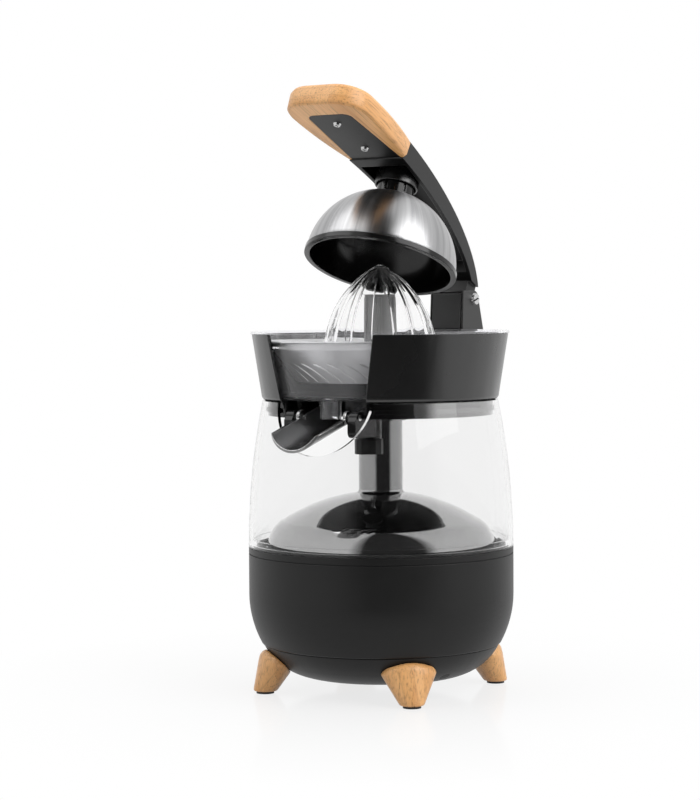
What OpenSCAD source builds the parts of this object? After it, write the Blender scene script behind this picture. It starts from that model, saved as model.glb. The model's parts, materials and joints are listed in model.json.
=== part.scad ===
// Electric citrus juicer with a lever press, a glass barrel and wooden feet.
// Millimetres, +Z up, spout towards -Y, hinge towards +Y, floor under the reamer axis at the origin.

/* [Body] */
// Outer radius of the body where drum and glass meet
body_r = 90; // [86:0.5:96]
// Height of the underside above the floor
ground_gap = 10; // [8:0.5:13]
// Depth of the bottom cover from its underside to the seam
cover_h = 22; // [20:0.5:25]
// Run of the bottom cover's curve from its flat underside out to the seam
cover_run = 34.5; // [30:0.5:38]
// How far the seam lies inside the body's radius
seam_in = 9.5; // [8:0.5:11]
// Height of the drum from the seam to the glass
drum_h = 66; // [66:0.5:72]
// Height of the round lower stretch of the drum
drum_round_h = 34; // [28:0.5:38]
// Step of the drum over the bottom cover at the seam
seam_step = 0.7; // [0:0.1:1.5]
// Height of the lip above the groove under the glass
lip_h = 4; // [3:0.5:6]
// Width and depth of the groove under the lip
groove = 0.8; // [0.5:0.1:1.2]
// Wall of the moulded shells
wall = 3; // [2.5:0.1:3.5]

/* [Glass barrel] */
// Height of the glass barrel
glass_h = 99; // [92:0.5:110]
// How far the glass draws in from its foot to its top
glass_draw = 10; // [7:0.5:11]
// Wall of the glass
glass_wall = 3; // [2.4:0.1:3.4]
// Height of the thick bead at the foot of the glass
bead_h = 3.5; // [2.5:0.1:5]
// Radius of the rounded notch for the spout
notch_r = 36; // [34.5:0.5:38]
// Depth of the notch for the spout
notch_h = 34; // [32:0.5:34.5]

/* [Feet] */
// How far the middle of a foot pad stands outside the seam
foot_out = 0.5; // [-3:0.5:3]
// Angle between the front and the first foot
foot_angle = 45; // [40:1:50]
// Radius of a foot at the floor
foot_low_r = 8; // [7:0.5:10]
// Half width of a foot at its widest along the body's radius
foot_rx = 13; // [11:0.5:15]
// Half width of a foot at its widest across the body's radius
foot_ry = 18.6; // [16:0.2:21]
// Outward lean of a foot from its widest place to the floor
foot_lean = 9; // [6:0.5:12]
// Height of the arched top of a foot
foot_arch = 7.5; // [5:0.5:10]
// Thickness of a foot pad
pad_h = 1.5; // [1:0.1:2.5]
// Radius of a foot pad
pad_r = 6; // [4:0.5:6.5]

/* [Upper housing] */
// Height of the upper ring
ring_h = 45; // [42:0.5:52]
// How far the upper ring flares out from the glass to its rim
ring_flare = 7; // [5:0.5:8]
// Wall of the upper ring
ring_wall = 3.5; // [3:0.1:4]
// Rounding of the lower edge of the upper ring
ring_round = 4; // [3:0.5:5]
// Width of the front window at the rim
window_top_w = 82; // [76:1:88]
// Width of the front window at the glass
window_low_w = 65; // [62:1:68]
// Depth of the tray skirt inside the glass
skirt_h = 10; // [8:0.5:14]
// Radius of the column
column_r = 15; // [14:0.5:17]
// Wall of the column
column_wall = 2.5; // [2:0.1:3]
// Height of the dome and its neck above the drum
neck_h = 38.2; // [37.6:0.1:39]
// Radius of the boss under the tray
boss_r = 8.5; // [7:0.5:9]
// Length of the boss under the tray
boss_h = 15; // [10:0.5:20]

/* [Drive] */
// Radius of the drive shaft
shaft_r = 5; // [4:0.25:6]
// Teeth of the motor and idler pinions
pinion_teeth = 15; // [15:1:17]
// Teeth of the idler and output wheels
wheel_teeth = 45; // [42:1:46]
// Tooth size of the motor stage
fine_module = 1; // [0.9:0.05:1.05]
// Tooth size of the output stage
coarse_module = 1.25; // [1.2:0.05:1.3]
// Pressure angle of the teeth
pressure_angle = 25; // [22:1:26]
// Length of the motor can
motor_len = 44; // [36:1:46]
// Radius of the motor shaft and the idler pin
pin_r = 3; // [2.5:0.25:3.5]
// Thickness of the gear plate
plate_t = 4; // [3.5:0.1:5]
// Face width of the motor stage
fine_face = 8; // [6:0.5:8.5]
// Face width of the output wheel
coarse_face = 10; // [8:0.5:11]
// Travel of the reamer when it is pressed
press_travel = 2; // [1:0.5:2.5]
// Wire radius of the return spring
wire_r = 0.8; // [0.6:0.1:1]
// Mean radius of the return spring
coil_r = 4.6; // [4.2:0.1:5]
// Turns of the return spring
coil_turns = 6; // [4:1:7]

/* [Juicing set] */
// Wall of the clear bowl
bowl_wall = 2; // [1.6:0.1:2.4]
// Overhang of the bowl rim on the ring
bowl_rim_t = 1.8; // [1.2:0.1:2.4]
// Sheet of the strainer
sheet = 1; // [0.8:0.1:1.4]
// Depth of the strainer
strainer_depth = 27; // [20:0.5:28]
// How far the strainer's floor stays inside the top of the glass
strainer_in = 24; // [20:0.5:28]
// Slits round the strainer
slit_count = 36; // [24:1:40]
// Width of a slit
slit_w = 1; // [0.8:0.1:1.6]
// Height of the reamer tip above the rim
reamer_tip = 47; // [42:0.5:47.5]
// Radius of the reamer at its foot
reamer_r = 38.8; // [34:0.2:40]
// Ribs of the reamer
rib_count = 16; // [10:1:18]
// Height of a reamer rib above the cone
rib_h = 1.6; // [1:0.1:2]
// Thickness of a reamer rib
rib_t = 2.2; // [1.6:0.1:2.8]
// Radius of the drive hub
hub_r = 11; // [9:0.5:12]

/* [Spout] */
// Half width of the spout
spout_w = 19; // [16:0.5:19.5]
// Depth of the spout trough
spout_depth = 10.5; // [10:0.25:13]
// Wall of the spout
spout_wall = 2; // [1.6:0.1:2.4]
// Reach of the spout in front of its pins
spout_reach = 42; // [34:0.5:44]
// Fall of the spout in degrees
spout_fall = 15; // [14:0.5:20]
// Length of the rounded nose of the spout
spout_nose = 11; // [8:0.5:19]
// Radius of the spout pins
spout_pin_r = 2; // [1.5:0.1:2.5]
// Thickness of the cheeks that hold the spout
cheek_t = 6; // [4:0.5:7]

/* [Hinge] */
// Distance of the lever pivot behind the rim of the ring
pivot_back = 22; // [20:0.5:25]
// Height of the lever pivot above the rim
pivot_up = 23; // [21:0.5:26]
// Width of the hinge bracket
bracket_w = 27; // [25:0.5:30]
// Thickness of the bracket cheeks
bracket_cheek = 4.3; // [3.5:0.1:5]
// Radius of the bracket cheeks round the pivot
bracket_round = 6; // [5.5:0.1:7]
// Depth of the bracket from its front face to its back edge at the rim
bracket_depth = 31.5; // [29:0.5:34]
// Radius of the pivot screw head
pivot_head_r = 4.6; // [4:0.1:5.5]

/* [Lever] */
// Angle of the lever above its lowest place
lever_lift = 22; // [0:1:60]
// Height of the lever crown above the top of the press dome
crown_over = 28.4; // [26:0.2:32]
// Depth of the lever at its front
lever_front_d = 15; // [13:0.5:17]
// Depth of the lever at the hinge
lever_hinge_d = 9; // [8:0.5:10]
// Half width of the lever at the handle
lever_front_w = 21.2; // [20:0.2:24]
// Half width of the lever at the hinge
lever_hinge_w = 10.6; // [9.5:0.1:12]
// Wall of the lever channel
lever_wall = 3; // [2.4:0.1:3.6]
// Length of the handle from the lever to its front
handle_l = 83.5; // [70:0.5:100]
// Half width of the handle at its widest
handle_w = 30; // [26:0.5:34]
// Thickness of the handle
handle_t = 15; // [13:0.5:18]
// Radius of the front corners of the handle
handle_corner = 20; // [12:0.5:22]
// Edge rounding of the handle
handle_edge = 3.5; // [2:0.25:5]
// Thickness of the lever tongue let into the handle
tongue_t = 5; // [4:0.25:6]
// Half width of the tongue at its front
tongue_front_w = 16.5; // [13:0.5:18]
// Radius of the press dome
dome_r = 51.6; // [48:0.2:54]
// Sheet of the press dome
dome_sheet = 0.7; // [0.5:0.1:1]
// Wall of the dome liner
liner_wall = 2; // [1.5:0.1:2.5]
// Radius of the neck between dome and collar
dome_neck_r = 12.8; // [11:0.1:13]
// Radius of the bayonet collar
collar_r = 15; // [15:0.1:17]

/* [Clearances] */
// Gap between fixed pieces that nest
fit_gap = 0.15; // [0.1:0.05:0.3]
// Gap between a running shaft and its bore
run_gap = 0.05; // [0.02:0.01:0.08]
// Gap between pieces that move past each other
move_gap = 0.5; // [0.3:0.1:0.8]

/* [Hidden] */
$fn = 96;

// Radii of the stacked shells
seam_r = body_r - seam_in;
cover_flat_r = seam_r - cover_run;
glass_top_r = body_r - glass_draw;
ring_top_r = glass_top_r + ring_flare;
foot_place_r = seam_r + foot_out;
pivot_y = ring_top_r + pivot_back;

// Heights of the stacked shells
seam_z = ground_gap + cover_h;
drum_top = seam_z + drum_h;
glass_top = drum_top + glass_h;
rim_z = glass_top + ring_h;

// Arcs of the shells, each from its chord
function arc_r(drop, run) = (drop * drop + run * run) / (2 * drop);
cover_arc = arc_r(cover_h, cover_run);
drum_low_r = seam_r + seam_step;
drum_arc = arc_r(body_r - drum_low_r, drum_round_h);
drum_round_z = seam_z + drum_round_h;
glass_arc = arc_r(body_r - glass_top_r, glass_h);
function glass_r(z) = body_r - glass_arc + sqrt(pow(glass_arc, 2) - pow(z - drum_top, 2));

// Inside of the base
motor_y = body_r * 7 / 15;
motor_r = body_r * 13 / 45;
gland_z = drum_top - 0.6 * drum_h;
drum_in_r = body_r - wall;
plate_z = drum_top - 28;
plate_top = plate_z + plate_t;
plate_r = drum_in_r - move_gap;
ledge_t = 4;
ledge_r = motor_y + motor_r + 2;
post_r = 4.6;
post_place_r = ledge_r - 4;
post_angles = [20, 160, 200, 340];
cover_screw_r = 1.6;
cover_head_r = 3.1;
well_r = cover_head_r + 0.3;
cover_head_t = 2;
cover_head_z = seam_z - 6;
dome_skirt_t = 3;

// Two-stage gear train
fine_pinion_r = pinion_teeth * fine_module / 2;
fine_wheel_r = wheel_teeth * fine_module / 2;
coarse_pinion_r = pinion_teeth * coarse_module / 2;
coarse_wheel_r = wheel_teeth * coarse_module / 2;
fine_span = fine_pinion_r + fine_wheel_r;
coarse_span = coarse_pinion_r + coarse_wheel_r;
idler_y = (pow(coarse_span, 2) - pow(fine_span, 2) + pow(motor_y, 2)) / (2 * motor_y);
idler_x = sqrt(pow(coarse_span, 2) - pow(idler_y, 2));
idler_at = [idler_x, idler_y];
motor_at = [0, motor_y];
mesh_out = atan2(idler_y, idler_x);
mesh_in = atan2(motor_y - idler_y, -idler_x);
backlash = 0.25;
addendum = 0.9;
dedendum = 1.2;
fine_z = plate_top + 1;
wheel_gap = 1;
out_z = fine_z + fine_face + wheel_gap + press_travel;
bush_flange_r = shaft_r + 4;

// Press carrier under the shaft
shaft_low_z = plate_z - 12;
cup_flange_r = 12.5;
cup_flange_t = 3;
cup_hub_r = shaft_r + 2;
cup_wall = 1;
cup_sink = 6;
cup_low_z = shaft_low_z - cup_wall - cup_flange_t;
spring_seat_z = cup_low_z - 24;
switch_h = 12;
switch_y = 10.5;
switch_w = 10;
switch_len = 18;
plunger_r = 1.5;
plunger_out = 5;
plunger_in = 5;
switch_top_z = cup_low_z - plunger_out;

// Dome over the gears, neck and column
dome_edge_r = body_r - 13;
dome_shoulder = 20;
dome_side = 36.5;
dome_cap_z = drum_top + 0.5 + dome_side;
dome_blend = dome_shoulder - 0.25;
dome_cap_arc = (pow(dome_edge_r - dome_shoulder, 2) + pow(dome_side, 2) - pow(dome_blend, 2))
    / (2 * (dome_side - dome_blend));
dome_fillet = 2.5;
neck_z = drum_top + neck_h;
tray_z = glass_top - skirt_h;
tray_t = 3;
skirt_r = glass_top_r - glass_wall - 0.7;
column_flange_r = column_r + 3;
column_flange_t = 4;

// Ring, bowl and strainer
strainer_floor_r = glass_top_r - strainer_in;
ledge_ring_t = 1.5;
ledge_ring_r = glass_top_r - 8;
lug_w = 34;
lug_h = 28;
lug_round = 6;
lug_y = pivot_y + 15;
bowl_z = glass_top + ledge_ring_t;
bowl_tube_r = shaft_r + 3;
bowl_tube_top = rim_z - 14;
strainer_rim_z = rim_z - 5.5;
outlet_y = glass_top_r - 17;
outlet_r = 5;
outlet_wall = 2;
outlet_h = 12;
function ring_r(z) = glass_top_r + (ring_top_r - glass_top_r) * (z - glass_top) / ring_h;
function bowl_r(z) = ring_r(z) - ring_wall - move_gap;

// Reamer profile: an arc from the foot to the tip
reamer_z = rim_z - 10;
reamer_rise = reamer_tip + rim_z - reamer_z;
reamer_bow = 9.5;
reamer_chord = sqrt(pow(reamer_rise, 2) + pow(reamer_r, 2));
reamer_arc = arc_r(reamer_bow, reamer_chord / 2);
reamer_lean = atan2(reamer_r, reamer_rise);
reamer_cx = reamer_r / 2 - (reamer_arc - reamer_bow) * cos(reamer_lean);
reamer_cz = reamer_z + reamer_rise / 2 - (reamer_arc - reamer_bow) * sin(reamer_lean);
function ogive(z, inset = 0) = reamer_cx + sqrt(pow(reamer_arc - inset, 2) - pow(z - reamer_cz, 2));
hub_z = reamer_z - 0.5;
hub_top = rim_z + 26;
socket_wall = 2;

// Spout place
spout_pin_y = glass_top_r - 9;
spout_pin_z = tray_z + 1;
spout_back = spout_pin_y - 22;
spout_arc = arc_r(spout_depth, spout_w);
cheek_x = spout_w + spout_wall + move_gap;
cheek_low = 13;

// Lever frame, drawn lowered and turned up about the pivot
pivot_z = rim_z + pivot_up;
lever_cy = -60;
lever_cz = pivot_z - 3.5;
lever_back = 12;
dome_z = rim_z + 4;
crown_h = dome_z + dome_r + crown_over - pivot_z;
lever_a = pivot_y + lever_back - lever_cy;
lever_b = crown_h + pivot_z - lever_cz;
lever_in_a = lever_a - lever_hinge_d;
lever_in_b = lever_b - lever_front_d;
lever_top_y = -26;
lever_low_y = -31;
lever_end_z = pivot_z + 12;
knuckle_w = bracket_w - 2 * bracket_cheek - 2 * move_gap;
handle_z = lever_cz + lever_in_b;
handle_front_y = lever_low_y - handle_l;
handle_back_w = lever_front_w + 0.8;
tongue_end_y = handle_front_y + 17;
tongue_corner = 6;
handle_screw_at = [lever_low_y - 0.19 * handle_l, lever_low_y - 0.635 * handle_l];
neck_out = 6;
collar_z = dome_z + dome_r + neck_out;
lug_r = dome_neck_r + 1;

black = [0.07, 0.07, 0.075];
gloss_black = [0.04, 0.04, 0.045];
bamboo = [0.80, 0.58, 0.35];
steel = [0.72, 0.72, 0.73];
clear = [0.82, 0.87, 0.92, 0.35];
grey = [0.45, 0.46, 0.48];
white = [0.90, 0.90, 0.88];
brass = [0.72, 0.58, 0.30];
rubber = [0.10, 0.10, 0.10];

// A rectangle in the half plane that is turned about the axis
module band(r0, r1, z0, z1) {
    translate([r0, z0])
        square([r1 - r0, z1 - z0]);
}

module turned() {
    rotate_extrude()
        children();
}

// Extrudes a drawing in Y and Z evenly to both sides of X = 0
module across(width) {
    rotate([90, 0, 90])
        linear_extrude(width, center = true)
            children();
}

module round_feet() {
    for (side = [0, 1], back = [0, 1])
        mirror([side, 0, 0])
            mirror([0, back, 0])
                rotate(-90 + foot_angle)
                    children();
}

module post_places() {
    for (a = post_angles)
        rotate(a)
            translate([post_place_r, 0, 0])
                children();
}

module in_lever_pose() {
    translate([0, pivot_y, pivot_z])
        rotate([-lever_lift, 0, 0])
            translate([0, -pivot_y, -pivot_z])
                children();
}

function arc_points(c, r, from, to, steps = 8) =
    [for (i = [0:steps]) c + r * [cos(from + (to - from) * i / steps), sin(from + (to - from) * i / steps)]];

// Gear outline with a tooth centred on the X axis
function inv(a) = tan(a) * 180 / PI - a;
function gear_points(teeth, size) =
    let (
        rp = teeth * size / 2,
        rb = rp * cos(pressure_angle),
        ra = rp + addendum * size,
        rf = rp - dedendum * size,
        r0 = max(rb, rf + 0.1 * size),
        radii = [for (k = [0:3]) r0 + (ra - r0) * k / 3],
        play = backlash / 4 / rp * 180 / PI,
        half = [for (r = radii) 90 / teeth - play + inv(pressure_angle) - inv(acos(rb / r))]
    )
    [for (i = [0:teeth - 1])
        let (c = 360 * i / teeth)
        each concat(
            [rf * [cos(c - half[0]), sin(c - half[0])]],
            [for (k = [0:3]) radii[k] * [cos(c - half[k]), sin(c - half[k])]],
            [for (k = [3:-1:0]) radii[k] * [cos(c + half[k]), sin(c + half[k])]],
            [rf * [cos(c + half[0]), sin(c + half[0])]]
        )];

module gear(teeth, size, height) {
    linear_extrude(height)
        polygon(gear_points(teeth, size));
}

// A pan-head screw that points down, with its head's seat at the origin
module screw(shank_r, len, head_r, head_t) {
    translate([0, 0, -len])
        cylinder(r = shank_r, h = len);
    difference() {
        cylinder(r1 = head_r, r2 = head_r * 0.75, h = head_t);
        for (a = [0, 90])
            rotate(a)
                translate([-head_r / 2, -0.4, head_t / 2])
                    cube([head_r, 0.8, head_t]);
    }
}

// Solid shape of the bottom cover, pulled in by inset
module cover_section(inset) {
    intersection() {
        union() {
            band(0, cover_flat_r, ground_gap + inset, seam_z);
            translate([cover_flat_r, ground_gap + cover_arc])
                circle(cover_arc - inset);
        }
        band(0, seam_r + 1, ground_gap - 1, seam_z);
    }
}

module drum_section(inset) {
    band(0, body_r - inset, drum_round_z, drum_top);
    intersection() {
        translate([body_r - drum_arc, drum_round_z])
            circle(drum_arc - inset);
        band(0, body_r, seam_z, drum_round_z);
    }
}

module base_drum() {
    ledge_z = plate_z - ledge_t;
    color(black)
    difference() {
        union() {
            turned()
                difference() {
                    drum_section(0);
                    difference() {
                        drum_section(wall);
                        band(ledge_r, body_r, ledge_z, plate_z);
                    }
                    band(body_r - groove, body_r + 1, drum_top - lip_h - groove, drum_top - lip_h);
                }
            intersection() {
                turned()
                    drum_section(wall / 2);
                post_places()
                    union() {
                        translate([0, 0, seam_z + 2])
                            cylinder(r = post_r, h = ledge_z - seam_z);
                        translate([0, -wall / 2, seam_z + 5])
                            cube([body_r, wall, ledge_z - seam_z - 4]);
                    }
            }
        }
        post_places()
            translate([0, 0, seam_z])
                cylinder(r = cover_screw_r + run_gap, h = 16);
        plate_screw_places()
            translate([0, 0, ledge_z - 1])
                cylinder(r = cover_screw_r + run_gap, h = ledge_t + 2);
        translate([0, body_r, gland_z])
            rotate([90, 0, 0])
                cylinder(r = 6.5 + fit_gap, h = 3 * wall, center = true);
    }
}

module bottom_cover() {
    rib_r = drum_low_r - wall - 1;
    tube_r = post_r;
    color(black)
    difference() {
        union() {
            turned()
                difference() {
                    cover_section(0);
                    cover_section(wall);
                }
            turned()
                band(rib_r - 2, rib_r, seam_z - 3, seam_z + 1.8);
            intersection() {
                turned()
                    band(0, seam_r, ground_gap, seam_z + 1.8);
                union() {
                    intersection() {
                        turned()
                            cover_section(0);
                        post_places()
                            cylinder(r = tube_r + 1, h = seam_z);
                    }
                    post_places()
                        translate([0, 0, seam_z - 8])
                            cylinder(r = tube_r, h = 10);
                }
            }
            translate([0, 0, ground_gap + 1])
                cylinder(r = coil_r + wire_r + 3, h = spring_seat_z + 5 - ground_gap - 1);
            translate([-switch_w / 2 - 1, -switch_y - switch_len + 4, ground_gap + 1])
                cube([switch_w + 2, switch_len - 5, switch_top_z - switch_h - ground_gap - 1]);
        }
        translate([0, 0, spring_seat_z])
            cylinder(r = coil_r + wire_r + move_gap, h = 10);
        post_places()
            union() {
                translate([0, 0, ground_gap - 1])
                    cylinder(r = well_r, h = cover_head_z - ground_gap + 1);
                cylinder(r = cover_screw_r + 0.2, h = seam_z + 10);
            }
        foot_screw_places()
            cylinder(r = cover_screw_r + 0.2, h = 4 * wall, center = true);
    }
}

// Places on the bottom cover's curve where a screw goes into a foot, pointing out of the body
module foot_screw_places() {
    tilt = 40;
    round_feet()
        translate([cover_flat_r, 0, ground_gap + cover_arc])
            rotate([0, 180 - tilt, 0])
                translate([0, 0, cover_arc - wall])
                    children();
}

module feet() {
    color(bamboo)
    difference() {
        round_feet()
            difference() {
                hull() {
                    translate([foot_place_r, 0, pad_h])
                        cylinder(r = foot_low_r, h = 1, $fn = 48);
                    for (a = [0, 30, 55, 72])
                        translate([foot_place_r - foot_lean, 0, seam_z - 3.5 + foot_arch * (sin(a) - 1)])
                            scale([foot_rx * (1 + cos(a)) / 2, foot_ry * cos(a), 1])
                                cylinder(r = 1, h = 1, $fn = 48);
                }
                turned()
                    union() {
                        cover_section(-fit_gap);
                        band(0, cover_flat_r, ground_gap, seam_z + 1);
                    }
            }
        foot_screw_places()
            cylinder(r = cover_screw_r + run_gap, h = wall + 12.5);
    }
}

module foot_pads() {
    color(rubber)
    round_feet()
        translate([foot_place_r, 0, 0])
            cylinder(r = pad_r, h = pad_h);
}

module foot_screws() {
    color(steel)
    foot_screw_places()
        translate([0, 0, -0.4])
            mirror([0, 0, 1])
                screw(cover_screw_r, wall + 12, cover_head_r, cover_head_t);
}

module cover_screws() {
    color(steel)
    post_places()
        translate([0, 0, cover_head_z])
            mirror([0, 0, 1])
                screw(cover_screw_r, 18, cover_head_r, cover_head_t);
}

// Soft plugs that close the screw wells flush with the cover
module screw_plugs() {
    plug_top = cover_head_z - cover_head_t - fit_gap;
    color(rubber)
    intersection() {
        turned()
            cover_section(0);
        post_places()
            translate([0, 0, ground_gap])
                cylinder(r = well_r - fit_gap, h = plug_top - ground_gap);
    }
}

module cord_gland() {
    color(rubber)
    translate([0, body_r, gland_z])
        rotate([90, 0, 0])
            difference() {
                union() {
                    translate([0, 0, -1])
                        cylinder(r = 6.5, h = wall + 6);
                    translate([0, 0, -2 - fit_gap])
                        cylinder(r1 = 7.5, r2 = 8.5, h = 2);
                }
                translate([0, 0, -3])
                    cylinder(r = 3.5, h = wall + 9);
            }
}

module plate_screw_places() {
    for (a = [0, 120, 240])
        rotate(a - 30)
            translate([ledge_r + 7, 0, 0])
                children();
}

module motor_screw_places() {
    for (side = [-1, 1])
        translate([motor_at.x + side * motor_r * 0.68, motor_at.y, 0])
            children();
}

module gear_plate() {
    boss_hole = pin_r + 5;
    color(steel)
    difference() {
        translate([0, 0, plate_z])
            cylinder(r = plate_r, h = plate_t);
        translate([0, 0, plate_z - 1]) {
            cylinder(r = bush_flange_r - 1, h = plate_t + 2);
            translate(motor_at)
                cylinder(r = boss_hole, h = plate_t + 2);
            translate(idler_at)
                cylinder(r = pin_r + run_gap, h = plate_t + 2);
            motor_screw_places()
                cylinder(r = cover_screw_r + run_gap, h = plate_t + 2);
            plate_screw_places()
                cylinder(r = cover_screw_r + run_gap, h = plate_t + 2);
        }
        motor_screw_places()
            translate([0, 0, plate_top - cover_head_t])
                cylinder(r = cover_head_r + fit_gap, h = cover_head_t + 1);
    }
}

module plate_screws() {
    color(steel)
    plate_screw_places()
        translate([0, 0, plate_top])
            screw(cover_screw_r, plate_t + ledge_t, cover_head_r, cover_head_t);
}

module motor_can() {
    low = plate_z - motor_len;
    boss = pin_r + 5 - fit_gap;
    color(grey)
    difference() {
        translate(motor_at)
            turned()
                polygon([
                    [0, low], [motor_r - 3, low], [motor_r, low + 3], [motor_r, plate_z],
                    [boss, plate_z], [boss, plate_top - 1], [0, plate_top - 1]
                ]);
        translate([motor_at.x, motor_at.y, plate_z - 20])
            cylinder(r = pin_r + run_gap, h = plate_t + 22);
        motor_screw_places()
            translate([0, 0, plate_z - 9])
                cylinder(r = cover_screw_r + run_gap, h = 10);
    }
}

module motor_screws() {
    color(steel)
    motor_screw_places()
        translate([0, 0, plate_top - cover_head_t])
            screw(cover_screw_r, plate_t - cover_head_t + 8, cover_head_r, cover_head_t);
}

module motor_shaft() {
    color(steel)
    translate([motor_at.x, motor_at.y, plate_z - 19.5])
        cylinder(r = pin_r, h = fine_z + fine_face - plate_z + 19.5);
}

module motor_pinion() {
    color(brass)
    translate([motor_at.x, motor_at.y, fine_z])
        difference() {
            rotate(mesh_in + 180)
                gear(pinion_teeth, fine_module, fine_face);
            translate([0, 0, -1])
                cylinder(r = pin_r + run_gap, h = fine_face + 2);
        }
}

module idler_pin() {
    color(steel)
    translate([idler_at.x, idler_at.y, plate_z])
        cylinder(r = pin_r, h = out_z + coarse_face + 1 - plate_z);
}

module idler_gear() {
    pinion_len = wheel_gap + coarse_face + press_travel;
    color(white)
    translate([idler_at.x, idler_at.y, fine_z])
        difference() {
            union() {
                rotate(mesh_in + 180 / wheel_teeth)
                    gear(wheel_teeth, fine_module, fine_face);
                translate([0, 0, fine_face - 1])
                    rotate(mesh_out + 180 + 180 / pinion_teeth)
                        gear(pinion_teeth, coarse_module, pinion_len + 1);
            }
            translate([0, 0, -1])
                cylinder(r = pin_r + run_gap, h = fine_face + pinion_len + 2);
        }
}

module output_gear() {
    hub = shaft_r + 4;
    hole_place = (hub + coarse_wheel_r - 3) / 2;
    hole = (coarse_wheel_r - hub) / 2 - 4;
    color(white)
    translate([0, 0, out_z])
        difference() {
            rotate(mesh_out)
                gear(wheel_teeth, coarse_module, coarse_face);
            translate([0, 0, -1])
                cylinder(r = shaft_r + run_gap, h = coarse_face + 2);
            for (i = [0:5])
                rotate(60 * i)
                    translate([hole_place, 0, -1])
                        cylinder(r = hole, h = coarse_face + 2);
        }
}

module drive_shaft() {
    color(steel)
    translate([0, 0, shaft_low_z])
        cylinder(r = shaft_r, h = hub_top - 4 - shaft_low_z);
}

module lower_bush() {
    color(brass)
    turned()
        difference() {
            union() {
                band(0, bush_flange_r - 1 - fit_gap, plate_z - 3, plate_top);
                band(0, bush_flange_r, plate_top, plate_top + 1);
            }
            band(-1, shaft_r + run_gap, plate_z - 4, plate_top + 2);
        }
}

module upper_bush() {
    bush_r = column_r - column_wall - fit_gap;
    color(brass)
    turned()
        band(shaft_r + run_gap, bush_r, tray_z - 12, tray_z);
}

module thrust_cup() {
    color(white)
    turned()
        difference() {
            union() {
                band(0, cup_flange_r, cup_low_z, cup_low_z + cup_flange_t);
                band(0, cup_hub_r, cup_low_z, shaft_low_z + cup_sink);
                band(0, coil_r - wire_r - move_gap, cup_low_z - 4, cup_low_z);
            }
            band(-1, shaft_r + run_gap, shaft_low_z, shaft_low_z + cup_sink + 1);
        }
}

// Helical wire swept as rings of points along its turns
module return_spring() {
    rings = 12 * coil_turns;
    sides = 6;
    low = spring_seat_z + wire_r + 0.1;
    rise = cup_low_z - spring_seat_z - 2 * wire_r - 0.2;
    ring_points = [for (i = [0:rings], k = [0:sides - 1])
        let (a = 360 * coil_turns * i / rings, b = 360 * k / sides, r = coil_r + wire_r * cos(b))
        [r * cos(a), r * sin(a), low + rise * i / rings + wire_r * sin(b)]];
    walls = [for (i = [0:rings - 1], k = [0:sides - 1])
        let (p = i * sides + k, q = i * sides + (k + 1) % sides)
        each [[p, q + sides, q], [p, p + sides, q + sides]]];
    ends = [for (k = [1:sides - 2])
        each [[0, k, k + 1], [rings * sides, rings * sides + k + 1, rings * sides + k]]];
    color(steel)
    polyhedron(ring_points, concat(walls, ends));
}

module switch_body() {
    color(black)
    difference() {
        translate([-switch_w / 2, -switch_y - switch_len + 4, switch_top_z - switch_h])
            cube([switch_w, switch_len, switch_h]);
        translate([0, -switch_y, switch_top_z - plunger_in - press_travel - 1])
            cylinder(r = plunger_r + run_gap, h = switch_h);
        cylinder(r = coil_r + wire_r + move_gap, h = drum_top);
    }
}

module switch_plunger() {
    color(brass)
    translate([0, -switch_y, switch_top_z - plunger_in])
        cylinder(r = plunger_r, h = plunger_in + plunger_out);
}

module dome_section(inset) {
    cap_r = dome_edge_r - dome_shoulder;
    fillet_r = column_r + dome_fillet;
    low = drum_top - 3 - inset;
    join_r = (dome_cap_arc - inset) * cap_r / (dome_cap_arc - dome_blend);
    intersection() {
        translate([0, dome_cap_z - dome_cap_arc])
            circle(dome_cap_arc - inset, $fn = 720);
        band(0, join_r, low, dome_cap_z + 1);
    }
    intersection() {
        union() {
            translate([cap_r, drum_top + 0.5])
                circle(dome_shoulder - inset);
            band(0, cap_r + dome_shoulder - inset, low, drum_top + 0.5);
        }
        band(0, dome_edge_r, low, dome_cap_z);
    }
    difference() {
        band(0, fillet_r, drum_top, neck_z);
        translate([fillet_r, neck_z])
            circle(dome_fillet + inset);
    }
}

module motor_dome() {
    outer = plate_r;
    color(gloss_black)
    turned() {
        difference() {
            dome_section(0);
            dome_section(column_wall);
            band(-1, column_r - column_wall, drum_top - 10, neck_z + 1);
        }
        band(dome_edge_r - column_wall, outer, drum_top - 3, drum_top - 0.5);
        band(outer - dome_skirt_t, outer, plate_top, drum_top - 0.5);
    }
}

module column_tube() {
    color(grey)
    turned()
        difference() {
            union() {
                band(0, column_r, neck_z, tray_z);
                band(0, column_flange_r, tray_z - column_flange_t, tray_z);
            }
            band(-1, column_r - column_wall, neck_z - 1, tray_z + 1);
        }
}

module glass_section(inset) {
    intersection() {
        translate([body_r - glass_arc, drum_top])
            circle(glass_arc - inset, $fn = 720);
        band(0, body_r, drum_top, glass_top);
    }
}

// Rounded opening through the front for the spout
module spout_notch(grow) {
    across_y = body_r + 30;
    translate([0, -across_y / 2, glass_top - notch_h + notch_r])
        rotate([90, 0, 0])
            cylinder(r = notch_r + grow, h = across_y - 60, center = true);
}

module glass_body() {
    color(clear)
    difference() {
        turned() {
            difference() {
                glass_section(0);
                glass_section(glass_wall);
            }
            band(drum_in_r - 2, body_r - 1, drum_top + 2, drum_top + 2 + bead_h);
        }
        spout_notch(0);
    }
}

module lower_seal() {
    color(rubber)
    turned()
        band(dome_edge_r + 4, drum_in_r - fit_gap, drum_top - 0.5, drum_top + 2 - fit_gap);
}

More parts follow.
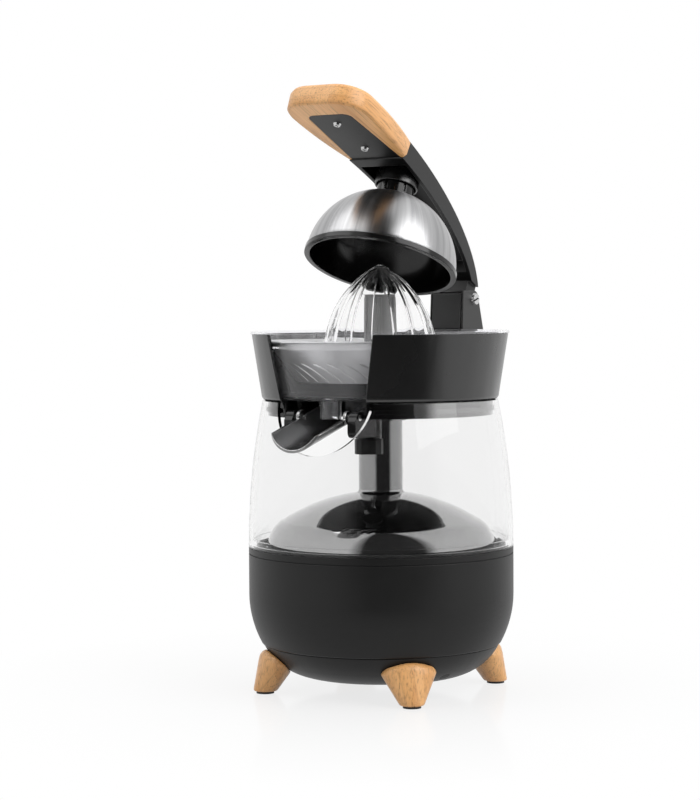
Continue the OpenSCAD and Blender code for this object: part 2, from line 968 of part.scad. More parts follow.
module upper_seal() {
    seal_z = tray_z + 3;
    seal_h = 3;
    seal_r = glass_r(seal_z + seal_h) - glass_wall - fit_gap;
    color(rubber)
    difference() {
        turned()
            band(skirt_r + fit_gap, seal_r, seal_z, seal_z + seal_h);
        spout_notch(1);
    }
}

module spout_cheek() {
    low = spout_pin_z - cheek_low;
    back_y = -spout_pin_y + 20;
    front_y = -spout_pin_y - 6;
    across(cheek_t)
        union() {
            polygon([
                [front_y, low + 4], [back_y, low + 4], [back_y, tray_z + tray_t],
                [front_y + 3, tray_z + tray_t], [front_y, tray_z - 1]
            ]);
            translate([-spout_pin_y, spout_pin_z])
                circle(spout_pin_r + 2.2);
            translate([front_y + 4, low])
                square([back_y - front_y - 4, 6]);
            translate([front_y + 4, low + 4])
                circle(4);
        }
}

module support_tray() {
    cut_w = cheek_x - 0.01;
    front_w = notch_r - 5;
    color(gloss_black)
    difference() {
        union() {
            difference() {
                turned() {
                    band(0, skirt_r, tray_z, tray_z + tray_t);
                    band(skirt_r - wall, skirt_r, tray_z, glass_top);
                    band(column_r + 22, column_r + 24, tray_z, bowl_z);
                }
                translate([-cut_w, -body_r, tray_z - 1])
                    cube([2 * cut_w, body_r - column_r - 28, skirt_h + 2]);
                translate([-front_w, -body_r, tray_z - 1])
                    cube([2 * front_w, body_r - spout_pin_y + 5, skirt_h + 2]);
            }
            for (side = [-1, 1])
                translate([side * (cheek_x + cheek_t / 2), 0, 0])
                    spout_cheek();
            translate([boss_at.x, boss_at.y, tray_z - boss_h])
                cylinder(r = boss_r, h = boss_h + 1);
        }
        translate([0, 0, tray_z - 1])
            cylinder(r = bowl_tube_r, h = tray_t + 2);
        translate([boss_at.x, boss_at.y, tray_z - boss_h - 1])
            cylinder(r = 3 + run_gap, h = 9);
        spout_pin_bore(spout_pin_r + run_gap);
    }
}

boss_at = [10, -column_r - boss_r - 8];

module spout_pin_bore(r) {
    translate([0, -spout_pin_y, spout_pin_z])
        rotate([0, 90, 0])
            cylinder(r = r, h = 2 * body_r, center = true);
}

module boss_nut() {
    nut_h = 10;
    color(gloss_black)
    translate([boss_at.x, boss_at.y, tray_z - boss_h - nut_h]) {
        cylinder(r = boss_r + 1, h = nut_h, $fn = 12);
        translate([0, 0, nut_h - 1])
            cylinder(r = 3, h = 7);
    }
}

module ring_section() {
    low_r = ring_r(glass_top + ring_round);
    difference() {
        union() {
            polygon([
                [0, glass_top + ring_round], [low_r, glass_top + ring_round],
                [ring_top_r, rim_z], [0, rim_z]
            ]);
            band(0, low_r - ring_round, glass_top, glass_top + ring_round);
            intersection() {
                translate([low_r - ring_round, glass_top + ring_round])
                    circle(ring_round);
                band(0, low_r, glass_top, glass_top + ring_round);
            }
        }
        ring_inside();
    }
}

// Space inside the upper ring, above its ledge
module ring_inside() {
    polygon([
        [0, bowl_z], [ring_r(bowl_z) - ring_wall - 0.5, bowl_z],
        [ring_r(glass_top + ring_round) - ring_wall, glass_top + ring_round],
        [ring_top_r - ring_wall, rim_z], [ring_top_r - ring_wall, rim_z + 9], [0, rim_z + 9]
    ]);
    band(0, ledge_ring_r, glass_top - 1, rim_z);
}

module bracket_screw_places() {
    for (y = [pivot_y - 9, pivot_y + 7])
        translate([0, y, 0])
            children();
}

module upper_ring() {
    lug_low = rim_z - lug_h;
    lug_front = ledge_ring_r;
    color(black)
    difference() {
        union() {
            turned()
                ring_section();
            intersection() {
                across(lug_w)
                    polygon([
                        [lug_front, lug_low], [lug_y - 16, lug_low], [lug_y, lug_low + 12],
                        [lug_y, rim_z], [lug_front, rim_z]
                    ]);
                translate([0, 0, lug_low - 1])
                    linear_extrude(lug_h + 2)
                        union() {
                            translate([-lug_w / 2, lug_front - 1])
                                square([lug_w, lug_y - lug_round - lug_front + 1]);
                            translate([-lug_w / 2 + lug_round, lug_front])
                                square([lug_w - 2 * lug_round, lug_y - lug_front]);
                            for (side = [-1, 1])
                                translate([side * (lug_w / 2 - lug_round), lug_y - lug_round])
                                    circle(lug_round);
                        }
            }
        }
        turned()
            ring_inside();
        translate([0, -body_r / 2, 0])
            rotate([90, 0, 0])
                linear_extrude(body_r, center = true)
                    polygon([
                        [-window_low_w / 2, glass_top - 1], [window_low_w / 2, glass_top - 1],
                        [window_top_w / 2, rim_z + 1], [-window_top_w / 2, rim_z + 1]
                    ]);
        bracket_screw_places()
            union() {
                translate([0, 0, lug_low - 1])
                    cylinder(r = cover_head_r + 0.3, h = lug_h - 11);
                translate([0, 0, lug_low])
                    cylinder(r = cover_screw_r + run_gap, h = lug_h + 1);
            }
    }
}

module bowl_section() {
    low = bowl_z;
    turn_z = glass_top + ring_round;
    difference() {
        union() {
            polygon([
                [0, low], [bowl_r(low) - 2, low], [bowl_r(turn_z), turn_z],
                [bowl_r(rim_z), rim_z], [0, rim_z]
            ]);
            band(0, ring_top_r + 0.8, rim_z, rim_z + bowl_rim_t);
        }
        difference() {
            polygon([
                [0, low + bowl_wall], [bowl_r(low) - bowl_wall - 2, low + bowl_wall],
                [bowl_r(turn_z) - bowl_wall, turn_z], [bowl_r(rim_z) - bowl_wall, rim_z],
                [bowl_r(rim_z) - bowl_wall, rim_z + 9], [0, rim_z + 9]
            ]);
            band(bowl_tube_r, bowl_tube_r + bowl_wall, low, bowl_tube_top);
            polygon([
                [bowl_r(strainer_rim_z) - bowl_wall - 3, strainer_rim_z], [body_r, strainer_rim_z],
                [body_r, strainer_rim_z - 5], [bowl_r(strainer_rim_z) - bowl_wall - 0.5, strainer_rim_z - 5]
            ]);
        }
        band(-1, bowl_tube_r, low - 1, rim_z);
    }
}

module juice_bowl() {
    nozzle_low = bowl_z - outlet_h;
    color(clear)
    difference() {
        union() {
            turned()
                bowl_section();
            translate([0, -outlet_y, nozzle_low])
                cylinder(r = outlet_r + outlet_wall, h = outlet_h + 0.5);
        }
        translate([0, -outlet_y, nozzle_low - 1])
            cylinder(r = outlet_r, h = outlet_h + bowl_wall + 2);
    }
}

module strainer() {
    rim_r = bowl_r(strainer_rim_z) - bowl_wall - fit_gap;
    top_r = rim_r - 3.5;
    floor_z = strainer_rim_z - strainer_depth;
    eye_r = bowl_tube_r + bowl_wall + 4;
    slope = atan2(strainer_depth, top_r - strainer_floor_r);
    sheet_run = sheet / sin(slope);
    slit_arc = 24;
    slit_skew = 35;
    slit_run = 0.42 * (top_r - strainer_floor_r);
    slit_mid = strainer_floor_r + 0.4 + slit_run / 2;
    color(steel)
    difference() {
        turned() {
            polygon([
                [eye_r, floor_z], [strainer_floor_r, floor_z], [top_r, strainer_rim_z],
                [rim_r, strainer_rim_z], [rim_r, strainer_rim_z + sheet],
                [top_r - sheet_run / 2, strainer_rim_z + sheet],
                [strainer_floor_r - sheet_run / 2, floor_z + sheet], [eye_r, floor_z + sheet]
            ]);
            band(eye_r, eye_r + sheet, floor_z, floor_z + 10);
        }
        for (i = [0:slit_count - 1])
            rotate(360 * i / slit_count)
                translate([slit_mid, 0, floor_z - 5])
                    linear_extrude(strainer_depth)
                        intersection() {
                            translate(-slit_arc * [cos(slit_skew), sin(slit_skew)])
                                difference() {
                                    circle(slit_arc + slit_w / 2);
                                    circle(slit_arc - slit_w / 2);
                                }
                            translate([-slit_run / 2, -slit_arc / 2])
                                square([slit_run, slit_arc]);
                        }
    }
}

module drive_hub() {
    core = hub_r - 1;
    color(grey)
    difference() {
        translate([0, 0, hub_z])
            union() {
                cylinder(r = core, h = hub_top - hub_z);
                for (i = [0:5])
                    rotate(60 * i)
                        translate([0, -1.5, 0])
                            cube([hub_r - 0.1, 3, hub_top - hub_z - 2]);
            }
        translate([0, 0, hub_z - 1])
            cylinder(r = shaft_r + run_gap, h = hub_top - hub_z - 3);
    }
}

module reamer() {
    foot_t = 2;
    steps = 10;
    top = reamer_z + reamer_rise - 3;
    shell = 3;
    socket_r = hub_r + fit_gap;
    inner_top = hub_top - 6;
    outline = [for (i = [0:steps]) let (z = reamer_z + (top - reamer_z) * i / steps) [ogive(z, rib_h), z]];
    rib_line = [for (i = [0:steps]) let (z = reamer_z + (top - reamer_z) * i / steps) [ogive(z), z]];
    hollow = [for (i = [0:steps])
        let (z = reamer_z - 1 + (inner_top - reamer_z + 1) * i / steps)
        [ogive(max(z, reamer_z), rib_h + shell), z]];
    color(clear)
    difference() {
        union() {
            turned() {
                polygon(concat([[0, reamer_z]], outline, [[0, top + 1.8]]));
                band(0, reamer_r + 3, reamer_z, reamer_z + foot_t);
            }
            for (i = [0:rib_count - 1])
                rotate(360 * i / rib_count)
                    rotate([90, 0, 0])
                        linear_extrude(rib_t, center = true)
                            polygon(concat([[0, reamer_z]], rib_line, [[2, top + 0.9], [0, top + 0.9]]));
        }
        turned() {
            polygon(concat(
                [[socket_r + socket_wall, reamer_z - 1]], hollow,
                [[socket_r + socket_wall, inner_top]]
            ));
            band(0, socket_r, reamer_z - 1, hub_top + fit_gap);
        }
    }
}

// The trough along its own fall: X across, Y towards the tip, Z out of the rim plane
module in_spout_pose() {
    translate([0, -spout_pin_y, spout_pin_z])
        rotate([spout_fall, 0, 0])
            children();
}

module spout() {
    back = spout_pin_y - spout_back;
    front = spout_reach / cos(spout_fall);
    lift = spout_arc - spout_depth;
    ear_r = spout_pin_r + 2.5;
    nose_w = spout_w + 0.6;
    nose_y = spout_nose - front;
    nose = [for (t = [180:7.5:360]) [nose_w * cos(t), nose_y + spout_nose * sin(t)]];
    color(steel)
    in_spout_pose()
        difference() {
            union() {
                intersection() {
                    translate([0, 0, lift])
                        rotate([90, 0, 0])
                            difference() {
                                cylinder(r = spout_arc, h = 4 * body_r, center = true);
                                cylinder(r = spout_arc - spout_wall, h = 4 * body_r, center = true);
                            }
                    translate([0, 0, -spout_depth - 1])
                        linear_extrude(spout_depth + 1)
                            union() {
                                translate([-body_r, nose_y])
                                    square([2 * body_r, back - nose_y]);
                                polygon(concat(
                                    [[nose_w, nose_y + 1], [-nose_w, nose_y + 1]],
                                    nose
                                ));
                            }
                }
                for (side = [-1, 1])
                    translate([side * (spout_w - spout_wall / 2), 0, 0])
                        rotate([0, 90, 0])
                            cylinder(r = ear_r, h = spout_wall, center = true);
            }
            rotate([0, 90, 0])
                cylinder(r = spout_pin_r + run_gap, h = 4 * spout_w, center = true);
        }
}

module spout_pins() {
    inner = spout_w - spout_wall;
    color(steel)
    for (side = [-1, 1])
        translate([side * (inner + cheek_x + cheek_t) / 2, -spout_pin_y, spout_pin_z])
            rotate([0, 90, 0])
                cylinder(r = spout_pin_r, h = cheek_x + cheek_t - inner, center = true);
}

module hinge_bracket() {
    front_y = ring_top_r + 4;
    lean = 2;
    top = pivot_z + bracket_round;
    back_y = front_y + bracket_depth;
    floor_t = 6;
    slot_w = bracket_w - 2 * bracket_cheek;
    color(black)
    difference() {
        across(bracket_w)
            polygon(concat(
                [[back_y, rim_z], [front_y, rim_z], [front_y + lean, top]],
                arc_points([pivot_y, pivot_z], bracket_round, 90, 17)
            ));
        translate([-slot_w / 2, front_y + lean + 3.5, rim_z + floor_t])
            cube([slot_w, bracket_depth, pivot_up + bracket_round]);
        translate([0, pivot_y, pivot_z])
            rotate([0, 90, 0])
                cylinder(r = pin_r + run_gap, h = bracket_w + 2, center = true);
        bracket_screw_places()
            translate([0, 0, rim_z - 1])
                cylinder(r = cover_screw_r + run_gap, h = floor_t);
    }
}

module bracket_screws() {
    color(steel)
    bracket_screw_places()
        translate([0, 0, rim_z - 12])
            mirror([0, 0, 1])
                screw(cover_screw_r, 16.5, cover_head_r, cover_head_t);
}

module pivot_screw() {
    head_t = 2;
    color(steel)
    translate([0, pivot_y, pivot_z])
        rotate([0, 90, 0])
            difference() {
                union() {
                    translate([0, 0, -bracket_w / 2 - 1.5])
                        cylinder(r = pin_r, h = bracket_w + 1.5);
                    translate([0, 0, bracket_w / 2])
                        cylinder(r1 = pivot_head_r, r2 = pivot_head_r - 0.8, h = head_t);
                }
                translate([-pivot_head_r, -0.6, bracket_w / 2 + head_t - 0.9])
                    cube([2 * pivot_head_r, 1.2, 2]);
            }
}

module pivot_nut() {
    head_t = 2;
    color(steel)
    translate([-bracket_w / 2, pivot_y, pivot_z])
        rotate([0, -90, 0])
            difference() {
                cylinder(r1 = pivot_head_r, r2 = pivot_head_r - 0.8, h = head_t);
                translate([0, 0, -1])
                    cylinder(r = pin_r + run_gap, h = head_t + 0.6);
            }
}

// Points of the lever's back or belly, on an ellipse, between two distances from the axis
function lever_curve(a, b, from_y, to_y, steps = 20) =
    let (t0 = acos((from_y - lever_cy) / a), t1 = acos((to_y - lever_cy) / a))
    [for (i = [0:steps])
        let (t = t0 + (t1 - t0) * i / steps)
        [lever_cy + a * cos(t), lever_cz + b * sin(t)]];
function ellipse_y(a, b, z) = lever_cy + a * sqrt(1 - pow((z - lever_cz) / b, 2));

// Plan of the lever, pulled in by inset, between two distances from the axis
module lever_plan(inset, from_y, to_y) {
    taper = (lever_front_w - lever_hinge_w) / (pivot_y + lever_back - lever_low_y);
    w0 = lever_front_w - inset - taper * (from_y - lever_low_y);
    w1 = lever_front_w - inset - taper * (to_y - lever_low_y);
    translate([0, 0, rim_z])
        linear_extrude(crown_h + pivot_up + 20)
            polygon([[-w0, from_y], [w0, from_y], [w1, to_y], [-w1, to_y]]);
}

module lever_arm() {
    back_end = ellipse_y(lever_a, lever_b, lever_end_z);
    belly_end = ellipse_y(lever_in_a, lever_in_b, lever_end_z);
    channel_end = belly_end - 6;
    channel_start = lever_top_y + 5;
    color(black)
    in_lever_pose()
        difference() {
            union() {
                difference() {
                    intersection() {
                        across(4 * lever_front_w)
                            polygon(concat(
                                lever_curve(lever_a, lever_b, lever_top_y, back_end),
                                lever_curve(lever_in_a, lever_in_b, belly_end, lever_low_y)
                            ));
                        lever_plan(0, lever_low_y - 1, pivot_y + lever_back);
                    }
                    intersection() {
                        across(4 * lever_front_w)
                            polygon(concat(
                                lever_curve(lever_a - lever_wall, lever_b - lever_wall,
                                    channel_start, channel_end),
                                [[channel_end, rim_z], [channel_start, rim_z]]
                            ));
                        lever_plan(lever_wall, channel_start, channel_end + 1);
                    }
                }
                across(knuckle_w)
                    union() {
                        polygon([
                            [belly_end - 1, lever_end_z + 3], [back_end - 3, lever_end_z + 3],
                            [back_end, lever_end_z], [pivot_y + bracket_round, pivot_z],
                            [pivot_y - bracket_round, pivot_z], [belly_end, lever_end_z]
                        ]);
                        translate([pivot_y, pivot_z])
                            circle(bracket_round);
                    }
                translate([0, 0, handle_z])
                    tongue(tongue_t);
            }
            translate([0, pivot_y, pivot_z])
                rotate([0, 90, 0])
                    cylinder(r = pin_r + run_gap, h = bracket_w, center = true);
            for (y = handle_screw_at)
                translate([0, y, handle_z - 1])
                    cylinder(r = cover_screw_r + 0.2, h = tongue_t + 2);
        }
}

// Flat tongue of the lever that is let into the handle, pushed out by grow
module tongue(height, grow = 0) {
    back_w = lever_front_w - 2 + grow;
    front_w = tongue_front_w + grow;
    front_y = tongue_end_y - grow;
    corner = tongue_corner + grow;
    linear_extrude(height)
        polygon(concat(
            [[back_w, lever_low_y + 4]],
            [[-back_w, lever_low_y + 4]],
            arc_points([-front_w + corner, front_y + corner], corner, 180, 270),
            arc_points([front_w - corner, front_y + corner], corner, 270, 360)
        ));
}

// Points down one curved side of the handle, from the front corner to the lever
function handle_side(w, back_w, y0, y1, steps = 8) =
    [for (i = [1:steps - 1]) let (t = i / steps) [w + (back_w - w) * t * t, y0 + (y1 - y0) * t]];

// Outline of the handle, pulled in by inset
module handle_slice(z, inset) {
    w = handle_w - inset;
    corner = handle_corner - inset;
    front_y = handle_front_y + inset;
    back_w = handle_back_w - inset;
    side = handle_side(w, back_w, front_y + corner, lever_top_y);
    translate([0, 0, z])
        linear_extrude(0.1)
            polygon(concat(
                [[back_w, lever_top_y], [-back_w, lever_top_y]],
                [for (i = [len(side) - 1:-1:0]) [-side[i].x, side[i].y]],
                arc_points([-w + corner, front_y + corner], corner, 180, 270, 10),
                arc_points([w - corner, front_y + corner], corner, 270, 360, 10),
                side
            ));
}

module handle() {
    top = handle_z + handle_t;
    color(bamboo)
    in_lever_pose()
        difference() {
            hull() {
                handle_slice(handle_z, handle_edge * 0.6);
                handle_slice(handle_z + handle_edge * 0.6, 0);
                handle_slice(top - handle_edge, 0);
                handle_slice(top - handle_edge * 0.35, handle_edge * 0.35);
                handle_slice(top - 0.1, handle_edge);
            }
            translate([0, 0, handle_z - 1])
                tongue(tongue_t + 1 + fit_gap, fit_gap);
            across(4 * handle_w)
                polygon([
                    [lever_low_y - fit_gap - 1, handle_z - 5], [lever_top_y - fit_gap, top + 1],
                    [lever_top_y + 9, top + 1], [lever_top_y + 9, handle_z - 5]
                ]);
            for (y = handle_screw_at)
                translate([0, y, handle_z])
                    cylinder(r = cover_screw_r + run_gap, h = handle_t - 3);
        }
}

module handle_screws() {
    color(steel)
    in_lever_pose()
        for (y = handle_screw_at)
            translate([0, y, handle_z])
                mirror([0, 0, 1])
                    screw(cover_screw_r, handle_t - 4, cover_head_r - 0.2, 1.4);
}

module bayonet_collar() {
    collar_in = lug_r + fit_gap;
    collar_deep = 6.5;
    color(gloss_black)
    in_lever_pose()
        difference() {
            turned()
                difference() {
                    band(0, collar_r, collar_z, collar_z + 30);
                    band(-1, collar_in, collar_z - 1, collar_z + collar_deep);
                }
            across(4 * collar_r)
                polygon(concat(
                    lever_curve(lever_a - lever_wall - fit_gap, lever_b - lever_wall - fit_gap,
                        -2 * collar_r, 2 * collar_r),
                    [[2 * collar_r, collar_z + 99], [-2 * collar_r, collar_z + 99]]
                ));
        }
}

// Quarter of a spherical shell above the dome's rim plane
module dome_shell(r_out, r_in, low) {
    intersection() {
        difference() {
            circle(r_out);
            circle(r_in);
        }
        translate([0, low])
            square(r_out + 1);
    }
}

module press_dome() {
    color(steel)
    in_lever_pose()
        translate([0, 0, dome_z])
            turned()
                difference() {
                    dome_shell(dome_r, dome_r - dome_sheet, 2.5);
                    band(-1, dome_neck_r + fit_gap, 0, dome_r + 9);
                }
}

module dome_liner() {
    out_r = dome_r - dome_sheet - fit_gap;
    lug_low = dome_r + neck_out + 1;
    neck_top = dome_r + neck_out + 5.5;
    lug_w = 6;
    lug_len = sqrt(pow(lug_r, 2) - pow(lug_w / 2, 2));
    color(gloss_black)
    in_lever_pose()
        translate([0, 0, dome_z])
            difference() {
                union() {
                    turned() {
                        dome_shell(out_r, out_r - liner_wall, 1);
                        band(out_r - liner_wall, dome_r + 0.8, -1, 2.5 - fit_gap);
                        band(0, dome_neck_r, out_r - liner_wall - 1.2, neck_top);
                    }
                    for (i = [0:2])
                        rotate(120 * i)
                            translate([0, -lug_w / 2, lug_low])
                                cube([lug_len, lug_w, 3]);
                }
                for (i = [0:5])
                    rotate(60 * i + 30)
                        translate([dome_neck_r - 1.2, -0.9, dome_r])
                            cube([3, 1.8, neck_top]);
            }
}

base_drum();
bottom_cover();
feet();
foot_pads();
foot_screws();
cover_screws();
screw_plugs();
cord_gland();
gear_plate();
plate_screws();
motor_can();
motor_screws();
motor_shaft();
motor_pinion();
idler_pin();
idler_gear();
output_gear();
drive_shaft();
lower_bush();
upper_bush();
thrust_cup();
return_spring();
switch_body();
switch_plunger();
motor_dome();
column_tube();
glass_body();
lower_seal();
upper_seal();
support_tray();
boss_nut();
upper_ring();
juice_bowl();
strainer();
drive_hub();
reamer();
spout();
spout_pins();
hinge_bracket();
bracket_screws();
pivot_screw();
pivot_nut();
lever_arm();
handle();
handle_screws();
bayonet_collar();
press_dome();
dome_liner();
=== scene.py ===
import json
import math

import bpy
from mathutils import Matrix, Vector


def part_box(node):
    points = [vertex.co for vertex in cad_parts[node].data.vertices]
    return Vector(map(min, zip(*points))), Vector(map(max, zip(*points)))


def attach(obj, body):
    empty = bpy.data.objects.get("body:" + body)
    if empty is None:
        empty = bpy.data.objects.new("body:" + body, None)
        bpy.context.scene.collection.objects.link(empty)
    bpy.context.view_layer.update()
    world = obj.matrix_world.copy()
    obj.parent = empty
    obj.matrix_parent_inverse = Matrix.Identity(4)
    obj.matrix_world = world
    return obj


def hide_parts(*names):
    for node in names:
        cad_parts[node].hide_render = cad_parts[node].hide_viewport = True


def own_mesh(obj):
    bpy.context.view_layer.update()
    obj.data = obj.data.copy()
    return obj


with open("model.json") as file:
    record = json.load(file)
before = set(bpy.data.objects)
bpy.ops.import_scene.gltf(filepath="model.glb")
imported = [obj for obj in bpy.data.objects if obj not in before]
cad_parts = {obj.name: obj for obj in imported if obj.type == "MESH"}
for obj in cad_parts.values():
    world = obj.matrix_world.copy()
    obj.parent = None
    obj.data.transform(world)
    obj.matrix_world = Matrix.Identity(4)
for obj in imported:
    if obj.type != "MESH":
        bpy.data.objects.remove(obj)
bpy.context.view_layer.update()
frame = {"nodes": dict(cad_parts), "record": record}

nodes = frame["nodes"]
MM = 0.001

# The lever's pivot, the lever's turn up from its lowest place, and the height in millimetres of the
# press cup's centre at that lowest place
PIVOT = Vector((0, 109, 265)) * MM
LEVER_TURN = math.radians(-22)
CUP_HEIGHT = 246

# Curves turn smooth where two faces meet at less than this angle, in degrees
SMOOTH_ANGLE = 38


def place_camera():
    """The camera at the photograph's viewing angle and with its field of view."""
    azimuth, yaw, pitch, roll = (math.radians(a) for a in (31.07, -0.770, 2.345, -0.345))
    distance, height = 1530.5 * MM, 259.37 * MM
    focal_pixels, frame_pixels, sensor = 2253.4, 800, 36
    heading = azimuth - yaw
    forward = Vector((
        -math.sin(heading) * math.cos(pitch), math.cos(heading) * math.cos(pitch), -math.sin(pitch)))
    level = Vector((math.cos(heading), math.sin(heading), 0))
    upright = level.cross(forward)
    right = level * math.cos(roll) + upright * math.sin(roll)
    up = upright * math.cos(roll) - level * math.sin(roll)
    bpy.ops.object.camera_add()
    camera = bpy.context.object
    camera.name = "photo_camera"
    turn = Matrix((right, up, -forward)).transposed().to_4x4()
    spot = Vector((distance * math.sin(azimuth), -distance * math.cos(azimuth), height))
    camera.matrix_world = Matrix.Translation(spot) @ turn
    camera.data.sensor_width = sensor
    camera.data.lens = focal_pixels * sensor / frame_pixels
    camera.data.clip_end = 20
    bpy.context.scene.camera = camera


# Small helpers for shader nodes
def add(tree, kind, **settings):
    node = tree.nodes.new(kind)
    for key, value in settings.items():
        setattr(node, key, value)
    return node


def put(tree, socket, value):
    """Links another node's output to a socket, or sets a plain value on it."""
    if isinstance(value, bpy.types.NodeSocket):
        tree.links.new(value, socket)
    elif socket.type == "RGBA":
        socket.default_value = (*value, 1)
    else:
        socket.default_value = value


def fill(tree, node, values):
    for key, value in values.items():
        put(tree, node.inputs[key], value)


def math_node(tree, operation, *values):
    node = add(tree, "ShaderNodeMath", operation=operation)
    fill(tree, node, dict(enumerate(values)))
    return node.outputs[0]


def vector_node(tree, operation, *values):
    node = add(tree, "ShaderNodeVectorMath", operation=operation)
    fill(tree, node, dict(enumerate(values)))
    return node.outputs["Value" if operation in ("DOT_PRODUCT", "LENGTH") else "Vector"]


def stretched(tree, vector, scale):
    return vector_node(tree, "MULTIPLY", vector, scale)


def ramp_node(tree, factor, *stops):
    node = add(tree, "ShaderNodeValToRGB")
    steps = node.color_ramp.elements
    while len(steps) < len(stops):
        steps.new(0.5)
    for step, (place, colour) in zip(steps, stops):
        step.position = place
        step.color = (*colour, 1)
    put(tree, node.inputs["Fac"], factor)
    return node.outputs["Color"]


def mixed(tree, share, first, second, way="MIX"):
    node = add(tree, "ShaderNodeMix", data_type="RGBA", blend_type=way)
    fill(tree, node, {0: share, 6: first, 7: second})
    return node.outputs[2]


def shader_mix(tree, share, first, second):
    node = add(tree, "ShaderNodeMixShader")
    fill(tree, node, {0: share, 1: first, 2: second})
    return node.outputs["Shader"]


def noise(tree, vector, scale, detail=2.0, rough=0.5):
    node = add(tree, "ShaderNodeTexNoise")
    fill(tree, node, {"Vector": vector, "Scale": scale, "Detail": detail, "Roughness": rough})
    return node.outputs["Fac"]


def spread(tree, value, low, high):
    node = add(tree, "ShaderNodeMapRange")
    fill(tree, node, {"Value": value, "To Min": low, "To Max": high})
    return node.outputs["Result"]


def bump(tree, height, depth, normal=None):
    node = add(tree, "ShaderNodeBump")
    fill(tree, node, {"Strength": 1, "Distance": depth, "Height": height})
    if normal is not None:
        put(tree, node.inputs["Normal"], normal)
    return node.outputs["Normal"]


def grey(value):
    return (value, value, value)


def object_spot(tree):
    return add(tree, "ShaderNodeTexCoord").outputs["Object"]


def new_finish(name):
    mat = bpy.data.materials.new(name)
    mat.use_nodes = True
    return mat, mat.node_tree, mat.node_tree.nodes["Principled BSDF"]


def show(tree, surface):
    put(tree, tree.nodes["Material Output"].inputs["Surface"], surface)


# A pale studio: white behind and beside the object, dark on the camera's side for reflections only
def seen_directly(tree):
    """The ray kinds, and 1 for rays that see a thing straight, in a reflection or through glass."""
    path = add(tree, "ShaderNodeLightPath")
    seen = math_node(tree, "MAXIMUM", path.outputs["Is Camera Ray"], path.outputs["Is Glossy Ray"])
    return path, math_node(tree, "MAXIMUM", seen, path.outputs["Is Transmission Ray"])


def dark_front(tree, place, path):
    """White all round, but a tall dark card before the object where a reflection looks."""
    card_heading, card_tone, side, core = (0.695, -0.719, 0.0), 0.04, 0.70, 0.86
    heading = vector_node(tree, "NORMALIZE", stretched(tree, place, (1, 1, 0)))
    facing = vector_node(tree, "DOT_PRODUCT", heading, card_heading)
    card = ramp_node(tree, facing, (side, grey(1.0)), (core, grey(card_tone)))
    return mixed(tree, path.outputs["Is Glossy Ray"], grey(1.0), card)


def floor_finish():
    """A pale floor with the object's shadow, which fades into the white studio a little way off."""
    mat, tree, shader = new_finish("pale_floor")
    fill(tree, shader, {"Base Color": grey(0.66), "Roughness": 0.12, "Specular IOR Level": 0.25})
    spot = object_spot(tree)
    reach = vector_node(tree, "LENGTH", spot)
    fade = ramp_node(tree, reach, (0.09, grey(0.78)), (0.32, grey(1.0)))
    close = ramp_node(tree, reach, (0.30, grey(1.0)), (0.52, grey(0.0)))
    path, direct = seen_directly(tree)
    white = add(tree, "ShaderNodeEmission")
    glow = math_node(tree, "MAXIMUM", dark_front(tree, spot, path), close)
    fill(tree, white, {"Color": glow, "Strength": 1})
    share = math_node(tree, "MULTIPLY", fade, direct)
    show(tree, shader_mix(tree, share, shader.outputs["BSDF"], white.outputs["Emission"]))
    return mat


def build_studio():
    scene = bpy.context.scene
    scene.view_settings.view_transform = "Standard"
    world = bpy.data.worlds.new("studio")
    scene.world = world
    world.use_nodes = True
    tree = world.node_tree
    tree.nodes.clear()
    path, direct = seen_directly(tree)
    lit = add(tree, "ShaderNodeBackground")
    fill(tree, lit, {"Color": grey(1.0), "Strength": 0.55})
    seen = add(tree, "ShaderNodeBackground")
    around = add(tree, "ShaderNodeTexCoord").outputs["Generated"]
    put(tree, seen.inputs["Color"], dark_front(tree, around, path))
    surface = shader_mix(tree, direct, lit.outputs["Background"], seen.outputs["Background"])
    put(tree, add(tree, "ShaderNodeOutputWorld").inputs["Surface"], surface)

    bpy.ops.mesh.primitive_plane_add(size=12, location=(0, 0, 0))
    floor = bpy.context.object
    floor.name = "pale_floor"
    floor.data.materials.append(floor_finish())

    # Soft lamps aimed at the object's middle; only the two at the sides show in reflections
    middle = Vector((0, 0, 0.2))
    for name, spot, size, power, mirrored in (
        ("soft_left", (-0.95, -0.75, 1.72), 1.45, 11, True),
        ("soft_right", (1.5, -0.1, 1.2), 1.5, 25, True),
        ("soft_top", (-0.1, 0.3, 1.9), 1.2, 14, False),
    ):
        bpy.ops.object.light_add(type="AREA", location=spot)
        lamp = bpy.context.object
        lamp.name = name
        lamp.data.size = size
        lamp.data.energy = power
        lamp.visible_glossy = mirrored
        lamp.visible_transmission = False
        lamp.rotation_euler = (middle - Vector(spot)).to_track_quat("-Z", "Y").to_euler()


# Shared effects, each a node group with its own inputs
def new_effect(name, inputs, outputs):
    effect = bpy.data.node_groups.new(name, "ShaderNodeTree")
    for label, kind, value in inputs:
        socket = effect.interface.new_socket(name=label, in_out="INPUT", socket_type="NodeSocket" + kind)
        if value is not None:
            socket.default_value = value
    for label, kind in outputs:
        effect.interface.new_socket(name=label, in_out="OUTPUT", socket_type="NodeSocket" + kind)
    return effect, add(effect, "NodeGroupInput").outputs, add(effect, "NodeGroupOutput")


def moulded_grain():
    """The fine grain of a moulded surface, and broad patches in its sheen."""
    effect, start, end = new_effect(
        "moulded_grain", [("Grain Size", "Float", 1600.0)], [("Height", "Float"), ("Patch", "Float")])
    spot = object_spot(effect)
    fill(effect, end, {
        "Height": noise(effect, spot, start["Grain Size"], 3.0, 0.6),
        "Patch": noise(effect, spot, 22.0, 4.0, 0.55),
    })
    return effect


